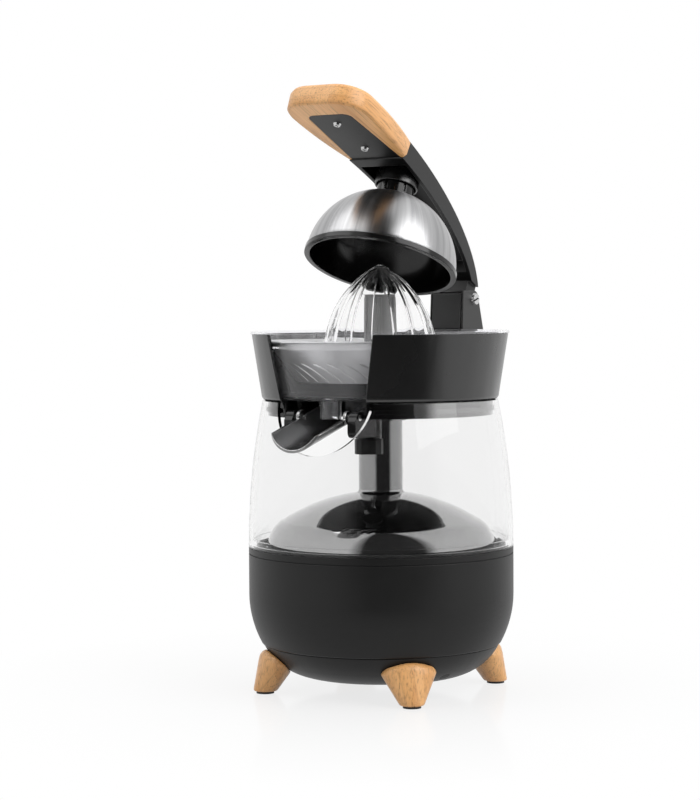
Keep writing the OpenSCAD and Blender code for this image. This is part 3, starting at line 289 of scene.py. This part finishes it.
def soft_edges():
    """A rounded normal at the edges, and a mask that is strongest where it turns most."""
    effect, start, end = new_effect(
        "soft_edges", [("Radius", "Float", 0.0006)], [("Normal", "Vector"), ("Edge", "Float")])
    bevel = add(effect, "ShaderNodeBevel", samples=6)
    put(effect, bevel.inputs["Radius"], start["Radius"])
    rounded = bevel.outputs["Normal"]
    flat = add(effect, "ShaderNodeNewGeometry").outputs["Normal"]
    turn = math_node(effect, "SUBTRACT", 1.0, vector_node(effect, "DOT_PRODUCT", rounded, flat))
    fill(effect, end, {"Normal": rounded, "Edge": math_node(effect, "MULTIPLY", turn, 4.0)})
    return effect


def handling_marks():
    """Cloudy, streaked marks that hands and cloths leave on a smooth surface."""
    effect, start, end = new_effect(
        "handling_marks", [("Amount", "Float", 0.05)], [("Roughness", "Float")])
    spot = object_spot(effect)
    cloud = noise(effect, spot, 30.0, 5.0, 0.6)
    streak = noise(effect, stretched(effect, spot, (160.0, 160.0, 35.0)), 1.0, 3.0, 0.6)
    both = math_node(effect, "MULTIPLY", cloud, streak)
    put(effect, end.inputs["Roughness"], math_node(effect, "MULTIPLY", both, start["Amount"]))
    return effect


def laminated_bamboo():
    """Bamboo strips in layers: a tone for each strip, fibres, cloudy warmth and glue lines."""
    strip_width, layer_height, wave, fibres = 0.0105, 0.0052, 0.0008, 850
    effect, start, end = new_effect(
        "laminated_bamboo", [("Vector", "Vector", None), ("Fleck Pitch", "Float", 26.0)],
        [("Color", "Color"), ("Height", "Float"), ("Roughness", "Float")])
    along = start["Vector"]
    split = add(effect, "ShaderNodeSeparateXYZ")
    put(effect, split.inputs[0], along)
    wander = math_node(effect, "MULTIPLY", noise(effect, along, 18.0, 1.0), wave)
    across = math_node(effect, "ADD", split.outputs["X"], wander)
    strip = math_node(effect, "FLOOR", math_node(effect, "MULTIPLY", across, 1 / strip_width))
    rise = math_node(effect, "MULTIPLY", split.outputs["Z"], 1 / layer_height)
    cell = add(effect, "ShaderNodeCombineXYZ")
    fill(effect, cell, {"X": strip, "Z": math_node(effect, "FLOOR", rise)})
    pick = add(effect, "ShaderNodeTexWhiteNoise", noise_dimensions="3D")
    put(effect, pick.inputs["Vector"], cell.outputs["Vector"])
    tone = ramp_node(
        effect, pick.outputs["Value"], (0.0, (0.66, 0.325, 0.112)), (0.35, (0.74, 0.390, 0.148)),
        (0.7, (0.82, 0.450, 0.182)), (1.0, (0.70, 0.355, 0.130)))
    pitch = add(effect, "ShaderNodeCombineXYZ")
    fill(effect, pitch, {"X": fibres, "Y": start["Fleck Pitch"], "Z": fibres})
    fibre = noise(effect, stretched(effect, along, pitch.outputs["Vector"]), 1.0, 3.0, 0.65)
    fleck = ramp_node(effect, fibre, (0.30, grey(0.55)), (0.47, grey(0.95)), (0.75, grey(1.06)))
    cloud = noise(effect, stretched(effect, along, (60.0, 14.0, 60.0)), 1.0, 3.0)
    warm = ramp_node(effect, cloud, (0.3, (0.92, 0.90, 0.86)), (0.7, (1.05, 1.06, 1.08)))
    glue = ramp_node(
        effect, math_node(effect, "FRACT", rise), (0.0, grey(0.82)), (0.05, grey(1.0)),
        (0.95, grey(1.0)), (1.0, grey(0.82)))
    for shade in (fleck, warm, glue):
        tone = mixed(effect, 1, tone, shade, "MULTIPLY")
    fill(effect, end, {
        "Color": tone,
        "Height": fibre,
        "Roughness": math_node(effect, "MULTIPLY", fibre, -0.2),
    })
    return effect


def drawn_lines():
    """Fine lines left by a tool, and a broader change of tone with them."""
    effect, start, end = new_effect(
        "drawn_lines", [("Vector", "Vector", None)], [("Height", "Float"), ("Tone", "Float")])
    broad = stretched(effect, start["Vector"], (0.12, 0.12, 0.12))
    fill(effect, end, {
        "Height": noise(effect, start["Vector"], 1.0, 3.0, 0.7),
        "Tone": noise(effect, broad, 1.0, 2.0),
    })
    return effect


place_camera()
build_studio()
EFFECTS = {
    make.__name__: make()
    for make in (moulded_grain, soft_edges, handling_marks, laminated_bamboo, drawn_lines)
}


def use_effect(tree, name, **values):
    node = add(tree, "ShaderNodeGroup", node_tree=EFFECTS[name])
    fill(tree, node, {key.replace("_", " ").title(): value for key, value in values.items()})
    return node.outputs


# Finishes; lengths such as depth and edge are in metres
def moulded(name, dark, pale, rough, grain=1600.0, depth=0.00002, edge=0.0006, specular=0.5, uneven=0.35):
    """Moulded, painted and rubber surfaces: fine grain, a slightly uneven sheen, and edges painted paler as a
    highlight.
    """
    edge_highlight, vary = 0.8, 0.05
    mat, tree, shader = new_finish(name)
    skin = use_effect(tree, "moulded_grain", grain_size=grain)
    edges = use_effect(tree, "soft_edges", radius=edge)
    # Painted highlight: the mask lightens the edges towards the pale tone; the patches are the surface's own
    # uneven tone.
    mask = add(tree, "ShaderNodeMath", operation="MULTIPLY_ADD", use_clamp=True)
    fill(tree, mask, {0: skin["Patch"], 1: uneven, 2: math_node(tree, "MULTIPLY", edges["Edge"], edge_highlight)})
    fill(tree, shader, {
        "Base Color": mixed(tree, mask.outputs[0], dark, pale),
        "Roughness": spread(tree, skin["Patch"], rough - vary, rough + vary),
        "Normal": bump(tree, skin["Height"], depth, edges["Normal"]),
        "Specular IOR Level": specular,
    })
    return mat


def wall_shine(tree, shine):
    """Shine on the tray's outer wall only, and none on its middle or its front."""
    spot = object_spot(tree)
    reach = vector_node(tree, "LENGTH", stretched(tree, spot, (1.0, 1.0, 0.0)))
    wall = ramp_node(tree, reach, (0.070, grey(0.0)), (0.076, grey(shine)))
    split = add(tree, "ShaderNodeSeparateXYZ")
    put(tree, split.inputs[0], spot)
    back = math_node(tree, "ADD", split.outputs["Y"], 0.1)
    behind = ramp_node(tree, back, (0.040, grey(0.0)), (0.050, grey(1.0)))
    return math_node(tree, "MULTIPLY", wall, behind)


def polished(name, colour, rough, edge=0.0006, shine=0.0, specular=1.0, dull_core=False, coat_ior=2.8):
    """Polished black plastic: clean reflections, faint handling marks, and edges painted paler as a
    highlight.
    """
    mat, tree, shader = new_finish(name)
    marks = use_effect(tree, "handling_marks", amount=0.05)
    edges = use_effect(tree, "soft_edges", radius=edge)
    # Painted highlight: the edges are painted paler than the plastic.
    pale = tuple(c * 2.5 + 0.01 for c in colour)
    fill(tree, shader, {
        "Base Color": ramp_node(tree, edges["Edge"], (0.0, colour), (1.0, pale)),
        "Roughness": math_node(tree, "ADD", marks["Roughness"], rough),
        "Normal": edges["Normal"],
        "Specular IOR Level": specular,
        "Coat Weight": wall_shine(tree, shine) if dull_core else shine,
        "Coat IOR": coat_ior,
        "Coat Roughness": 0.02,
    })
    return mat


def clear(name, tint, ior, shade=0.85, through=1.0):
    """Clear plastic and glass: light goes through it, and it casts only a faint shadow."""
    mat, tree, shader = new_finish(name)
    wave = noise(tree, object_spot(tree), 45.0, 1.0)
    fill(tree, shader, {
        "Base Color": tint,
        "Roughness": use_effect(tree, "handling_marks", amount=0.05)["Roughness"],
        "Transmission Weight": through,
        "IOR": ior,
        "Normal": bump(tree, wave, 0.00004),
    })
    thin = add(tree, "ShaderNodeBsdfTransparent")
    put(tree, thin.inputs["Color"], grey(shade))
    shadow = add(tree, "ShaderNodeLightPath").outputs["Is Shadow Ray"]
    show(tree, shader_mix(tree, shadow, shader.outputs["BSDF"], thin.outputs["BSDF"]))
    return mat


def machined(name, colour, rough, lines, depth=0.00002, edge=0.0003, metal=1.0, rim=None):
    """Bare metal with drawn or turned lines along one way, and edges painted towards a rim colour as a
    highlight where one is given.
    """
    mat, tree, shader = new_finish(name)
    work = use_effect(tree, "drawn_lines", vector=stretched(tree, object_spot(tree), lines))
    edges = use_effect(tree, "soft_edges", radius=edge)
    tone = ramp_node(tree, work["Tone"], (0.3, tuple(c * 0.88 for c in colour)), (0.7, colour))
    # Painted highlight: the edges are painted towards the rim colour.
    if rim:
        tone = mixed(tree, edges["Edge"], tone, rim)
    fill(tree, shader, {
        "Base Color": tone,
        "Roughness": spread(tree, work["Height"], rough - 0.06, rough + 0.08),
        "Normal": bump(tree, work["Height"], depth, edges["Normal"]),
        "Metallic": metal,
    })
    return mat


def bamboo(name, turn, shift, pitch=26.0):
    """Lacquered bamboo, its strips laid along the piece."""
    mat, tree, shader = new_finish(name)
    lay = add(tree, "ShaderNodeMapping")
    fill(tree, lay, {"Vector": object_spot(tree), "Rotation": turn, "Location": shift})
    wood = use_effect(tree, "laminated_bamboo", fleck_pitch=pitch, vector=lay.outputs["Vector"])
    edges = use_effect(tree, "soft_edges", radius=0.0007)
    fill(tree, shader, {
        "Base Color": wood["Color"],
        "Roughness": math_node(tree, "ADD", wood["Roughness"], 0.5),
        "Normal": bump(tree, wood["Height"], 0.00008, edges["Normal"]),
        "Coat Weight": 0.15,
        "Coat Roughness": 0.3,
    })
    return mat


def spun_steel(name):
    """Spun steel of the press cup: fine rings about its axis, streaks of light along its meridians from its
    stretched reflection, and painted streaks of reflected light in its colour.
    """
    mat, tree, shader = new_finish(name)
    uv = add(tree, "ShaderNodeUVMap", uv_map="spin").outputs["UV"]
    work = use_effect(tree, "drawn_lines", vector=stretched(tree, uv, (14.0, 420.0, 1.0)))
    around = add(tree, "ShaderNodeTangent", direction_type="UV_MAP", uv_map="spin")
    # Painted reflection: the colour is paler and darker in streaks along the meridians.
    rays = noise(tree, stretched(tree, uv, (70.0, 1.2, 1.0)), 1.0, 3.0, 0.6)
    fill(tree, shader, {
        "Base Color": ramp_node(
            tree, rays, (0.32, (0.30, 0.30, 0.305)), (0.5, (0.40, 0.40, 0.405)), (0.7, (0.48, 0.48, 0.485))),
        "Roughness": spread(tree, work["Height"], 0.24, 0.36),
        "Normal": bump(tree, work["Height"], 0.00003),
        "Metallic": 1,
        "Anisotropic": 0.85,
        "Anisotropic Rotation": 0.25,
        "Tangent": around.outputs["Tangent"],
    })
    return mat


# The handle's bamboo is laid out with the lever at its lowest place
HANDLE_SHIFT = -(Matrix.Rotation(-LEVER_TURN, 3, "X") @ PIVOT)
FINISHES = {
    "matt_black": moulded(
        "drum_black", grey(0.003), grey(0.020), 0.44, grain=1900.0, depth=0.00003, specular=0.28),
    # For the ring, lever and hinge block the pale tone is mostly a painted highlight along their edges.
    "ring_black": moulded(
        "ring_black", grey(0.0015), grey(0.12), 0.27, grain=1700.0, depth=0.00001, specular=0.8, uneven=0.04),
    "lever_black": moulded(
        "lever_black", grey(0.002), grey(0.10), 0.36, grain=1500.0, edge=0.0008, specular=0.25, uneven=0.06),
    "bracket_black": moulded("bracket_black", grey(0.002), grey(0.12), 0.38, grain=1500.0, uneven=0.06),
    "gloss_black": polished("gloss_black", grey(0.003), 0.06, shine=1.0, coat_ior=4.0),
    "cup_black": polished("cup_black", grey(0.003), 0.13, edge=0.0009, specular=0.4),
    "tray_black": polished(
        "tray_black", grey(0.003), 0.12, shine=1.0, specular=0.3, dull_core=True, coat_ior=4.6),
    "column_dark": polished("column_dark", grey(0.003), 0.05, shine=1.0),
    "bamboo": bamboo("handle_bamboo", (-LEVER_TURN, 0, 0), HANDLE_SHIFT),
    "foot_bamboo": bamboo("foot_bamboo", (math.radians(90), 0, 0), (0.002, 0.0, 0.003), pitch=190.0),
    "barrel_clear": clear("barrel_clear", grey(0.935), 1.25),
    "bowl_clear": clear("bowl_clear", (0.97, 0.97, 0.985), 1.3, shade=0.98, through=0.97),
    "reamer_clear": clear("reamer_clear", grey(0.97), 1.2),
    "brushed": spun_steel("spun_steel"),
    "strainer_steel": machined("strainer_steel", grey(0.93), 0.50, (400.0, 400.0, 400.0), depth=0.00001),
    # The spout's edges are painted near white as a highlight along its rim.
    "spout_steel": machined(
        "polished_steel", grey(0.27), 0.22, (700.0, 60.0, 60.0), edge=0.0006, rim=grey(0.95)),
    "plate_steel": machined("plate_steel", grey(0.52), 0.34, (40.0, 900.0, 900.0)),
    "fastener": machined("bright_screw", grey(0.62), 0.24, (700.0, 700.0, 700.0), depth=0.000004),
    # Painted shade: a near-black finish for the deep slot of the pivot screw.
    "slot_dark": machined(
        "slot_painted_shade", grey(0.012), 0.6, (700.0, 700.0, 700.0), depth=0.000004, metal=0.0),
    "shaft_steel": machined("ground_steel", grey(0.6), 0.24, (90.0, 90.0, 1600.0)),
    "brass": machined("turned_brass", (0.70, 0.52, 0.24), 0.28, (90.0, 90.0, 1400.0)),
    "rubber": moulded("soft_rubber", grey(0.018), grey(0.034), 0.75, grain=900.0, depth=0.00005),
    "gear_white": moulded("gear_white", grey(0.70), (0.82, 0.82, 0.79), 0.42),
    "motor_grey": machined("plated_can", grey(0.34), 0.38, (60.0, 60.0, 800.0)),
    "hub_grey": moulded("hub_grey", grey(0.22), grey(0.30), 0.4),
}
# Nodes whose finish differs from their slot's
OWN_FINISH = {
    "upper_ring": "ring_black", "hinge_bracket": "bracket_black", "feet": "foot_bamboo",
    "support_tray": "tray_black", "upper_seal": "tray_black", "dome_liner": "cup_black",
    "bayonet_collar": "ring_black", "boss_nut": "matt_black",
}
SLOTS = {row["node"]: row["material_slot"] for row in frame["record"]["subparts"]}
BODIES = {node: body for body, members in frame["record"]["behaviour"]["bodies"].items() for node in members}


def finish_of(node):
    return FINISHES[OWN_FINISH.get(node, SLOTS[node])]


for name, piece in nodes.items():
    piece.data.materials.clear()
    piece.data.materials.append(finish_of(name))


# Small helpers for modelling
def start_on(piece):
    bpy.ops.object.select_all(action="DESELECT")
    bpy.context.view_layer.objects.active = piece
    piece.select_set(True)


def edit(piece):
    start_on(piece)
    bpy.ops.object.mode_set(mode="EDIT")


def done():
    bpy.ops.object.mode_set(mode="OBJECT")


def pick_nothing(mesh):
    for group in (mesh.vertices, mesh.edges, mesh.polygons):
        for item in group:
            item.select = False


def apply_modifiers(piece):
    start_on(piece)
    for modifier in list(piece.modifiers):
        bpy.ops.object.modifier_apply(modifier=modifier.name)


def smooth_curves(angle):
    bpy.ops.object.shade_smooth_by_angle(angle=math.radians(angle))


def even_shading(piece):
    even = piece.modifiers.new("even_shading", "WEIGHTED_NORMAL")
    even.keep_sharp = True
    even.weight = 80
    apply_modifiers(piece)


def face_outwards(piece):
    edit(piece)
    bpy.ops.mesh.select_all(action="SELECT")
    bpy.ops.mesh.normals_make_consistent(inside=False)
    done()


def give_wall(piece, thickness):
    """Faces a bare skin outwards and gives it a wall, in millimetres, on its inner side."""
    face_outwards(piece)
    wall = piece.modifiers.new("wall", "SOLIDIFY")
    wall.thickness = thickness * MM
    wall.offset = -1
    apply_modifiers(piece)


def turn_on_pivot(piece, angle):
    start_on(piece)
    turn = Matrix.Rotation(angle, 4, "X")
    piece.matrix_world = Matrix.Translation(PIVOT) @ turn @ Matrix.Translation(-PIVOT)
    bpy.ops.object.transform_apply(location=True, rotation=True, scale=True)


def settle(piece, node, name):
    """Puts a finished piece in a node's place, on its body and in its finish."""
    piece.name = name
    piece.data.name = name
    piece.data.materials.clear()
    piece.data.materials.append(finish_of(node))
    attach(piece, BODIES[node])
    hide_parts(node)
    return piece


def dressed(node, name, edge=0.0, angle=SMOOTH_ANGLE):
    """A merged copy of a node with smooth curves, and rounded edges where a width is given."""
    piece = bpy.data.objects.new(name, nodes[node].data.copy())
    bpy.context.scene.collection.objects.link(piece)
    edit(piece)
    bpy.ops.mesh.select_all(action="SELECT")
    bpy.ops.mesh.remove_doubles(threshold=0.000002)
    bpy.ops.mesh.customdata_custom_splitnormals_clear()
    bpy.ops.mesh.dissolve_limited(angle_limit=math.radians(0.6), delimit=set())
    done()
    if edge:
        rounding = piece.modifiers.new("rounding", "BEVEL")
        rounding.width = edge
        rounding.segments = 2
        rounding.limit_method = "ANGLE"
        rounding.angle_limit = math.radians(angle)
        rounding.use_clamp_overlap = True
        apply_modifiers(piece)
    start_on(piece)
    smooth_curves(angle)
    even_shading(piece)
    return settle(piece, node, name)


def round_edges(piece, width, picked):
    """Rounds those sharp edges whose two ends, in millimetres, both pass the test."""
    sharp_angle = 32
    edit(piece)
    bpy.context.tool_settings.mesh_select_mode = (False, True, False)
    bpy.ops.mesh.select_all(action="DESELECT")
    bpy.ops.mesh.edges_select_sharp(sharpness=math.radians(sharp_angle))
    done()
    mesh = piece.data
    sharp = [edge.index for edge in mesh.edges if edge.select]
    pick_nothing(mesh)
    for index in sharp:
        ends = [mesh.vertices[end].co / MM for end in mesh.edges[index].vertices]
        mesh.edges[index].select = all(picked(*end) for end in ends)
    edit(piece)
    bpy.ops.mesh.bevel(offset=width * MM, segments=2, affect="EDGES", clamp_overlap=True)
    done()
    smooth_curves(SMOOTH_ANGLE)
    even_shading(piece)


def turned(name, profile, sides):
    """A ring of edges drawn up through a profile of (radius, height) points in millimetres."""
    radius, height = profile[0]
    bpy.ops.mesh.primitive_circle_add(vertices=sides, radius=radius * MM, location=(0, 0, height * MM))
    piece = bpy.context.object
    bpy.ops.object.transform_apply(location=True, rotation=True, scale=True)
    edit(piece)
    bpy.ops.mesh.select_all(action="SELECT")
    for next_radius, next_height in profile[1:]:
        rise = (0, 0, (next_height - height) * MM)
        bpy.ops.mesh.extrude_edges_move(TRANSFORM_OT_translate={"value": rise})
        grow = next_radius / radius
        bpy.ops.transform.resize(value=(grow, grow, 1), center_override=(0, 0, next_height * MM))
        radius, height = next_radius, next_height
    done()
    piece.name = name
    return piece


# The dressed pieces, one function each
def spin_map(piece):
    """A map of turn and rise about the press cup's axis, which its spun rings follow."""
    whole = 2 * math.pi
    spin = piece.data.uv_layers.new(name="spin")
    for face in piece.data.polygons:
        middle = math.atan2(face.center.y, face.center.x)
        for corner in face.loop_indices:
            spot = piece.data.vertices[piece.data.loops[corner].vertex_index].co
            around = math.atan2(spot.y, spot.x)
            around += whole * round((middle - around) / whole)
            rise = math.atan2(spot.z - CUP_HEIGHT * MM, math.hypot(spot.x, spot.y))
            spin.data[corner].uv = (around / whole + 1, rise / math.pi)


def press_cup():
    """The steel shell of the press cup, with a small hem at its rim."""
    radius, low, neck, hem, rings, sides = 51.6, 2.6, 12.95, 0.008, 32, 144
    start = math.asin(low / radius)
    top = math.acos(neck / radius)
    profile = [(radius - 0.75, low + 0.05), (radius - 0.3, low)]
    for step in range(rings + 1):
        rise = start + hem + (top - start - hem) * step / rings
        profile.append((radius * math.cos(rise), radius * math.sin(rise)))
    profile.append((neck, radius * math.sin(top) - 0.5))
    piece = turned("press_cup_shell", [(r, z + CUP_HEIGHT) for r, z in profile], sides)
    face_outwards(piece)
    spin_map(piece)
    turn_on_pivot(piece, LEVER_TURN)
    smooth_curves(35)
    settle(piece, "press_dome", "press_cup_shell")


def fluted_reamer():
    """The clear reamer: an arched cone drawn up in rings, its valleys pulled in between its ridges."""
    foot, rise, radius, bow, rim, rings = 232.0, 57.0, 38.8, 9.5, 41.6, 21
    chord = math.hypot(rise, radius)
    arc = (bow * bow + chord * chord / 4) / (2 * bow)
    lean = math.atan2(radius, rise)
    centre_r = radius / 2 - (arc - bow) * math.cos(lean)
    centre_z = foot + rise / 2 - (arc - bow) * math.sin(lean)
    profile = [(rim, foot + 0.3), (rim, foot + 1.6), (rim - 0.4, foot + 2.0)]
    for step in range(rings + 1):
        height = foot + 2.0 + (rise - 4.5) * (step / rings) ** 0.94
        profile.append((centre_r + math.sqrt(arc * arc - (height - centre_z) ** 2), height))
    profile += [(2.2, foot + rise - 1.3), (1.0, foot + rise - 0.7)]
    ridges, share = 16, 8
    piece = turned("fluted_reamer", profile, ridges * share)
    edit(piece)
    bpy.ops.mesh.edge_face_add()
    done()
    # From one ridge to the next, how far each of the points between them is pulled in
    pull = (0.968, 0.948, 0.938, 0.934, 0.938, 0.948, 0.968)
    low, high = (foot + 2.4) * MM, (foot + rise - 2) * MM
    for place, factor in enumerate(pull, 1):
        pick_nothing(piece.data)
        for spot in piece.data.vertices:
            turn = math.atan2(spot.co.y, spot.co.x) / (2 * math.pi) * ridges * share
            spot.select = low < spot.co.z < high and round(turn) % share == place
        edit(piece)
        bpy.context.tool_settings.mesh_select_mode = (True, False, False)
        bpy.ops.transform.resize(value=(factor, factor, 1), center_override=(0, 0, 0))
        done()
    give_wall(piece, 2.2)
    smooth_curves(50)
    settle(piece, "reamer", "fluted_reamer")


def gear_dome():
    """The glossy dome over the gears, drawn up from its skirt to the foot of the column."""
    low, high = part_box("motor_dome")
    skirt, foot, neck = high[0] / MM, low[2] / MM, high[2] / MM
    edge, base, side, shoulder, column, fillet = 77.0, 98.5, 36.5, 20.0, 15.0, 2.5
    bend_steps, cap_steps, fillet_steps, sides = 12, 24, 6, 160
    join = shoulder - 0.25
    arc = ((edge - shoulder) ** 2 + side ** 2 - join ** 2) / (2 * (side - join))
    top = base + side
    turn = math.atan2(edge - shoulder, base - top + arc)
    profile = [(skirt, foot), (skirt, base - 1), (edge, base - 1), (edge, base)]
    for step in range(1, bend_steps + 1):
        rise = (math.pi / 2 - turn) * step / bend_steps
        profile.append((edge - shoulder + shoulder * math.cos(rise), base + shoulder * math.sin(rise)))
    reach = math.asin((column + fillet) / arc)
    for step in range(1, cap_steps + 1):
        lean = turn + (reach - turn) * step / cap_steps
        profile.append((arc * math.sin(lean), top - arc + arc * math.cos(lean)))
    last = profile[-1][1]
    for step in range(1, fillet_steps + 1):
        bend = math.pi / 2 * step / fillet_steps
        across = column + fillet - fillet * math.sin(bend)
        profile.append((across, last + (neck - last) * (1 - math.cos(bend))))
    piece = turned("gear_dome", profile, sides)
    give_wall(piece, 2)
    smooth_curves(35)
    settle(piece, "motor_dome", "gear_dome")


def slanted_screw():
    """The pivot screw as it was left when driven home, its slot at a slant and painted near black as shade.
    """
    shallow, deep, half_slot, square = 0.4 * MM, 1.2 * MM, 0.7 * MM, 0.9
    piece = dressed("pivot_screw", "slotted_pivot")
    piece.data.materials.append(FINISHES["slot_dark"])
    top = max(vertex.co.x for vertex in piece.data.vertices)
    for face in piece.data.polygons:
        sunk = top - face.center.x
        in_slot = sunk < deep and abs(face.center.y - PIVOT.y) < half_slot
        floor = face.normal.x > square and sunk > shallow
        wall = abs(face.normal.y) > square
        # Painted shade: the slot's floor and walls take the near-black finish.
        face.material_index = 1 if in_slot and (floor or wall) else 0
    turn_on_pivot(piece, math.radians(-72))


def soft_feet():
    """Wooden feet with soft edges all round."""
    piece = dressed("feet", "bamboo_feet")
    fine = piece.modifiers.new("fine", "REMESH")
    fine.mode = "VOXEL"
    fine.voxel_size = 0.6 * MM
    soft = piece.modifiers.new("soft", "SMOOTH")
    soft.factor = 0.5
    soft.iterations = 14
    apply_modifiers(piece)
    bpy.ops.object.shade_smooth()


def hinge_block():
    """The hinge block with a groove round its front panel."""
    margin, groove, depth = 0.9 * MM, 0.6 * MM, 1.1 * MM
    piece = dressed("hinge_bracket", "hinge_block")
    faces = piece.data.polygons
    front = max((face for face in faces if face.normal.y < -0.9), key=lambda face: face.area).index
    pick_nothing(piece.data)
    faces[front].select = True
    edit(piece)
    bpy.context.tool_settings.mesh_select_mode = (False, False, True)
    bpy.ops.mesh.inset(thickness=margin, depth=0)
    bpy.ops.mesh.inset(thickness=groove, depth=-depth)
    bpy.ops.mesh.inset(thickness=groove, depth=depth)
    done()
    front_plane, half_width = 93.5, 13.4
    round_edges(piece, 0.6, lambda x, y, z: y < front_plane and abs(x) > half_width)


def window_ring():
    """The upper ring, its window edges rounded so that they catch the light."""
    piece = dressed("upper_ring", "window_ring")
    round_edges(piece, 0.8, lambda x, y, z: y < -40 and abs(x) < 80)


def coil_spring():
    """The return spring between its seat and the thrust cup, a smooth copy with its own mesh; the real spring
    shortens by the press travel.
    """
    piece = dressed("return_spring", "coil_spring", 0.0, 70)
    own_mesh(piece)


def rounded_seam(piece):
    """One lip of the seam between drum and lower shell, rounded."""
    cover_height, inner_reach = 22, 80
    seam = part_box("bottom_cover")[0][2] / MM + cover_height
    round_edges(piece, 0.8, lambda x, y, z: abs(z - seam) < 0.05 and math.hypot(x, y) > inner_reach)


press_cup()
fluted_reamer()
gear_dome()
slanted_screw()
dressed("handle", "bamboo_handle", 0.0, 46)
soft_feet()
dressed("lever_arm", "lever_beam", 0.0007, 32)
hinge_block()
window_ring()
dressed("spout", "pouring_spout", 0.0005, 32)
coil_spring()
rounded_seam(dressed("base_drum", "drum_shell"))
rounded_seam(dressed("bottom_cover", "lower_shell"))
